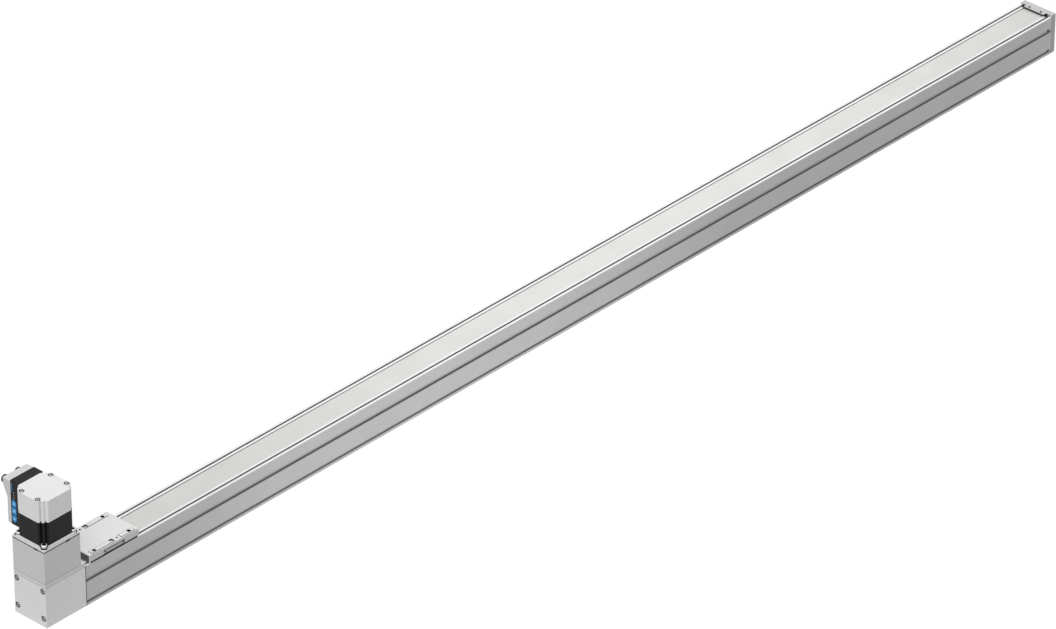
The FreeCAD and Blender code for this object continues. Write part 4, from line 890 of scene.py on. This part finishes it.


# paints shade where the end cap meets the strip and the guide, and round its clamp screws
def paintCapShade():
    capLow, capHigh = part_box("end_cap")
    stripLow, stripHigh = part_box("cover_strip")
    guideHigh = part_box("guide_profile")[1]
    face, edge = capLow.x, capShade["edge"]
    bm = bmesh.new()
    top, inset = stripLow.z + strip["thickness"] * mm, capShade["inset"] * mm
    layBlock(bm, (face - capShade["thick"] * mm, stripLow.y + inset, top),
             (face + capShade["into"] * mm, stripHigh.y - inset, top + capShade["high"] * mm), edge)
    long, wide, tall = (step * mm for step in capShade["notchShadow"])
    foot = guideHigh.z - capShade["notchShadowDeep"] * mm
    for side in (-1, 1):
        near, far = span(side, stripHigh.y, stripHigh.y + wide)
        layBlock(bm, (face, near, foot), (face + long, far, guideHigh.z + tall), edge)
    inner, outer = guideHigh.y - capShade["slotShadeDeep"] * mm, guideHigh.y + capShade["slotShadeProud"] * mm
    for bottom, height in capShade["plugs"]:
        for side in (-1, 1):
            near, far = span(side, inner, outer)
            layBlock(bm, (face - capShade["slotShadeLong"] * mm, near, bottom * mm), (face, far, height * mm),
                     capShade["slotShadeEdge"])
    for low, high in solidsOf("strip_clamp_screws"):
        ring(bm, *capShade["screwShadeRing"], ((low.x + high.x) / 2, (low.y + high.y) / 2, capHigh.z))
    finishPiece(bm, "end_cap_painted_shade", "axis_frame", "wiper_plastic", "seal_rubber_and_shade")
    print("cap sealed")


joints = {
    # painted shadow lines between housings: how far they stand out, and thickness at the head, under the motor
    # plate and at the guide's end, in mm; their broken edge in parts of the thickness
    "proud": 0.04, "band": 0.34, "plate": 1.8, "guide": 1.3, "edge": 0.1,
    "seamUp": 0.4,    # the motor plate's line lies this far above the coupling housing's top
    # painted shade in the lever slots in that line: distance from the middle along Y and along X, width, under
    # and over the line
    "leverAlongY": 14.5, "leverAlongX": 11, "leverWide": 7.5, "leverUnder": 1.6, "leverOver": 1.12,
    "leverEdge": 0.02,
}


def markJoints():
    proud = joints["proud"] * mm
    head, block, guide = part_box("drive_head_housing"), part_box("coupling_housing"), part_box("guide_profile")
    blockLow, blockHigh = block
    seam = blockHigh.z + joints["seamUp"] * mm
    bm = bmesh.new()
    for height, thick, (low, high) in ((head[1].z, joints["band"], head),
                                       (blockLow.z, joints["band"], block),
                                       (seam, joints["plate"], block)):
        half = thick / 2 * mm
        layBlock(bm, (low.x - proud, low.y - proud, height - half),
                 (high.x + proud, high.y + proud, height + half), thick * joints["edge"])
    half, (low, high) = joints["guide"] / 2 * mm, guide
    layBlock(bm, (low.x - half, low.y - proud, low.z), (low.x + half, high.y + proud, high.z + proud))
    middle, wide = (blockLow.x + blockHigh.x) / 2, joints["leverWide"] / 2 * mm
    under, over = seam - joints["leverUnder"] * mm, seam + joints["leverOver"] * mm
    for side, end in ((-1, blockLow.x), (1, blockHigh.x)):
        alongY, alongX = side * joints["leverAlongY"] * mm, side * joints["leverAlongX"] * mm
        for x, y, reachX, reachY in ((end, alongY, proud * 2, wide),
                                     (middle - alongX, side * blockHigh.y, wide, proud * 2)):
            layBlock(bm, (x - reachX, y - reachY, under), (x + reachX, y + reachY, over),
                     joints["leverEdge"])
    finishPiece(bm, "housing_joint_shadow_lines", "axis_frame", "buffer_rubber", "deep_shadow")
    print("joints marked")


def anyRay(tree, *kinds):
    # 1 for a ray of any of these kinds
    path = tree.nodes.new("ShaderNodeLightPath")
    source, output = path, kinds[0]
    for kind in kinds[1:]:
        either = tree.nodes.new("ShaderNodeMath")
        either.operation = "MAXIMUM"
        wire(tree, source, output, either, 0)
        wire(tree, path, kind, either, 1)
        source, output = either, 0
    return source


floorLook = {
    "size": 40, "colour": 0.35, "rough": 0.9,
    "glow": 0.68,    # shows only to the camera and in reflections
}


def addFloor():
    bm = bmesh.new()
    bmesh.ops.create_grid(bm, x_segments=1, y_segments=1, size=floorLook["size"])
    mesh = bpy.data.meshes.new("floor")
    bm.to_mesh(mesh)
    bm.free()
    floor = bpy.data.objects.new("floor", mesh)
    scene.collection.objects.link(floor)
    material, tree, shader = newMaterial("floor_white")
    shader.inputs["Base Color"].default_value = (*[floorLook["colour"]] * 3, 1)
    shader.inputs["Roughness"].default_value = floorLook["rough"]
    shader.inputs["Specular IOR Level"].default_value = 0
    dark = tree.nodes.new("ShaderNodeEmission")
    dark.inputs["Strength"].default_value = 0
    glow = tree.nodes.new("ShaderNodeEmission")
    glow.inputs["Strength"].default_value = floorLook["glow"]
    choose = tree.nodes.new("ShaderNodeMixShader")
    both = tree.nodes.new("ShaderNodeAddShader")
    wire(tree, anyRay(tree, "Is Camera Ray", "Is Glossy Ray"), 0, choose, 0)
    wire(tree, dark, 0, choose, 1)
    wire(tree, glow, 0, choose, 2)
    wire(tree, shader, 0, both, 0)
    wire(tree, choose, 0, both, 1)
    wire(tree, both, 0, tree.nodes["Material Output"], "Surface")
    mesh.materials.append(material)
    print("floor laid")


light = {
    "sky": 0.35,
    # the sun's strength, degrees across, where it comes from, and the share of it that casts shadows
    "sunStrength": 2.38, "sunAngle": 45, "sunFrom": (-0.38, -0.17, 0.64), "shadowShare": 0.3,
    # a soft card behind the part: place, aim and size in metres
    "cardPlace": (2.30, 1.95, 1.90), "cardAim": (0.15, 0, 0.06), "cardSize": (1.2, 1.8), "cardWatts": 8,
    # a soft pool of light along the guide: place, aim, watts, cone in degrees, softness in metres
    "sidePool": ((-0.42, -3.0, 0.35), (-0.33, 0, 0.03), 150, 24, 0.25),
}


def hangLamp(data, place, target):
    lamp = bpy.data.objects.new(data.name, data)
    scene.collection.objects.link(lamp)
    lamp.location = place
    lamp.rotation_euler = (Vector(place) - Vector(target)).to_track_quat("Z", "Y").to_euler()
    lamp.visible_camera = False


def setSky():
    # soft light on the object, and plain white to the camera, in reflections and through clear pieces
    world = bpy.data.worlds.new("studio")
    scene.world = world
    world.use_nodes = True
    tree = world.node_tree
    shine, white = tree.nodes["Background"], tree.nodes.new("ShaderNodeBackground")
    for background, strength in ((shine, light["sky"]), (white, 1)):
        background.inputs["Color"].default_value = (1, 1, 1, 1)
        background.inputs["Strength"].default_value = strength
    choose = tree.nodes.new("ShaderNodeMixShader")
    wire(tree, anyRay(tree, "Is Camera Ray", "Is Glossy Ray", "Is Transmission Ray"), 0, choose, 0)
    wire(tree, shine, 0, choose, 1)
    wire(tree, white, 0, choose, 2)
    wire(tree, choose, 0, tree.nodes["World Output"], "Surface")
    print("sky set")


def setLights():
    for name, share, shadows in (("key", light["shadowShare"], True),
                                 ("fill", 1 - light["shadowShare"], False)):
        sun = bpy.data.lights.new(name, "SUN")
        sun.energy, sun.angle = light["sunStrength"] * share, math.radians(light["sunAngle"])
        sun.use_shadow = shadows
        hangLamp(sun, light["sunFrom"], (0, 0, 0))
    place, target, watts, cone, soft = light["sidePool"]
    spot = bpy.data.lights.new("side pool", "SPOT")
    spot.energy, spot.spot_size, spot.spot_blend = watts, math.radians(cone), 1
    spot.shadow_soft_size = soft
    hangLamp(spot, place, target)
    card = bpy.data.lights.new("back card", "AREA")
    card.shape = "RECTANGLE"
    card.size, card.size_y = light["cardSize"]
    card.energy = light["cardWatts"]
    hangLamp(card, light["cardPlace"], light["cardAim"])
    scene.view_settings.view_transform = "Standard"
    print("lights set")


setCamera()
makeMaterials()
dressFrame()
softenEdges()
layStrip()
fitScrews()
layNotchShadeWashers()
shadeScrewRims()
layBeads()
makeSockets()
markButtons()
layStripe()
layLips()
fitLids()
lineSlide()
paintCapShade()
markJoints()
addFloor()
setSky()
setLights()
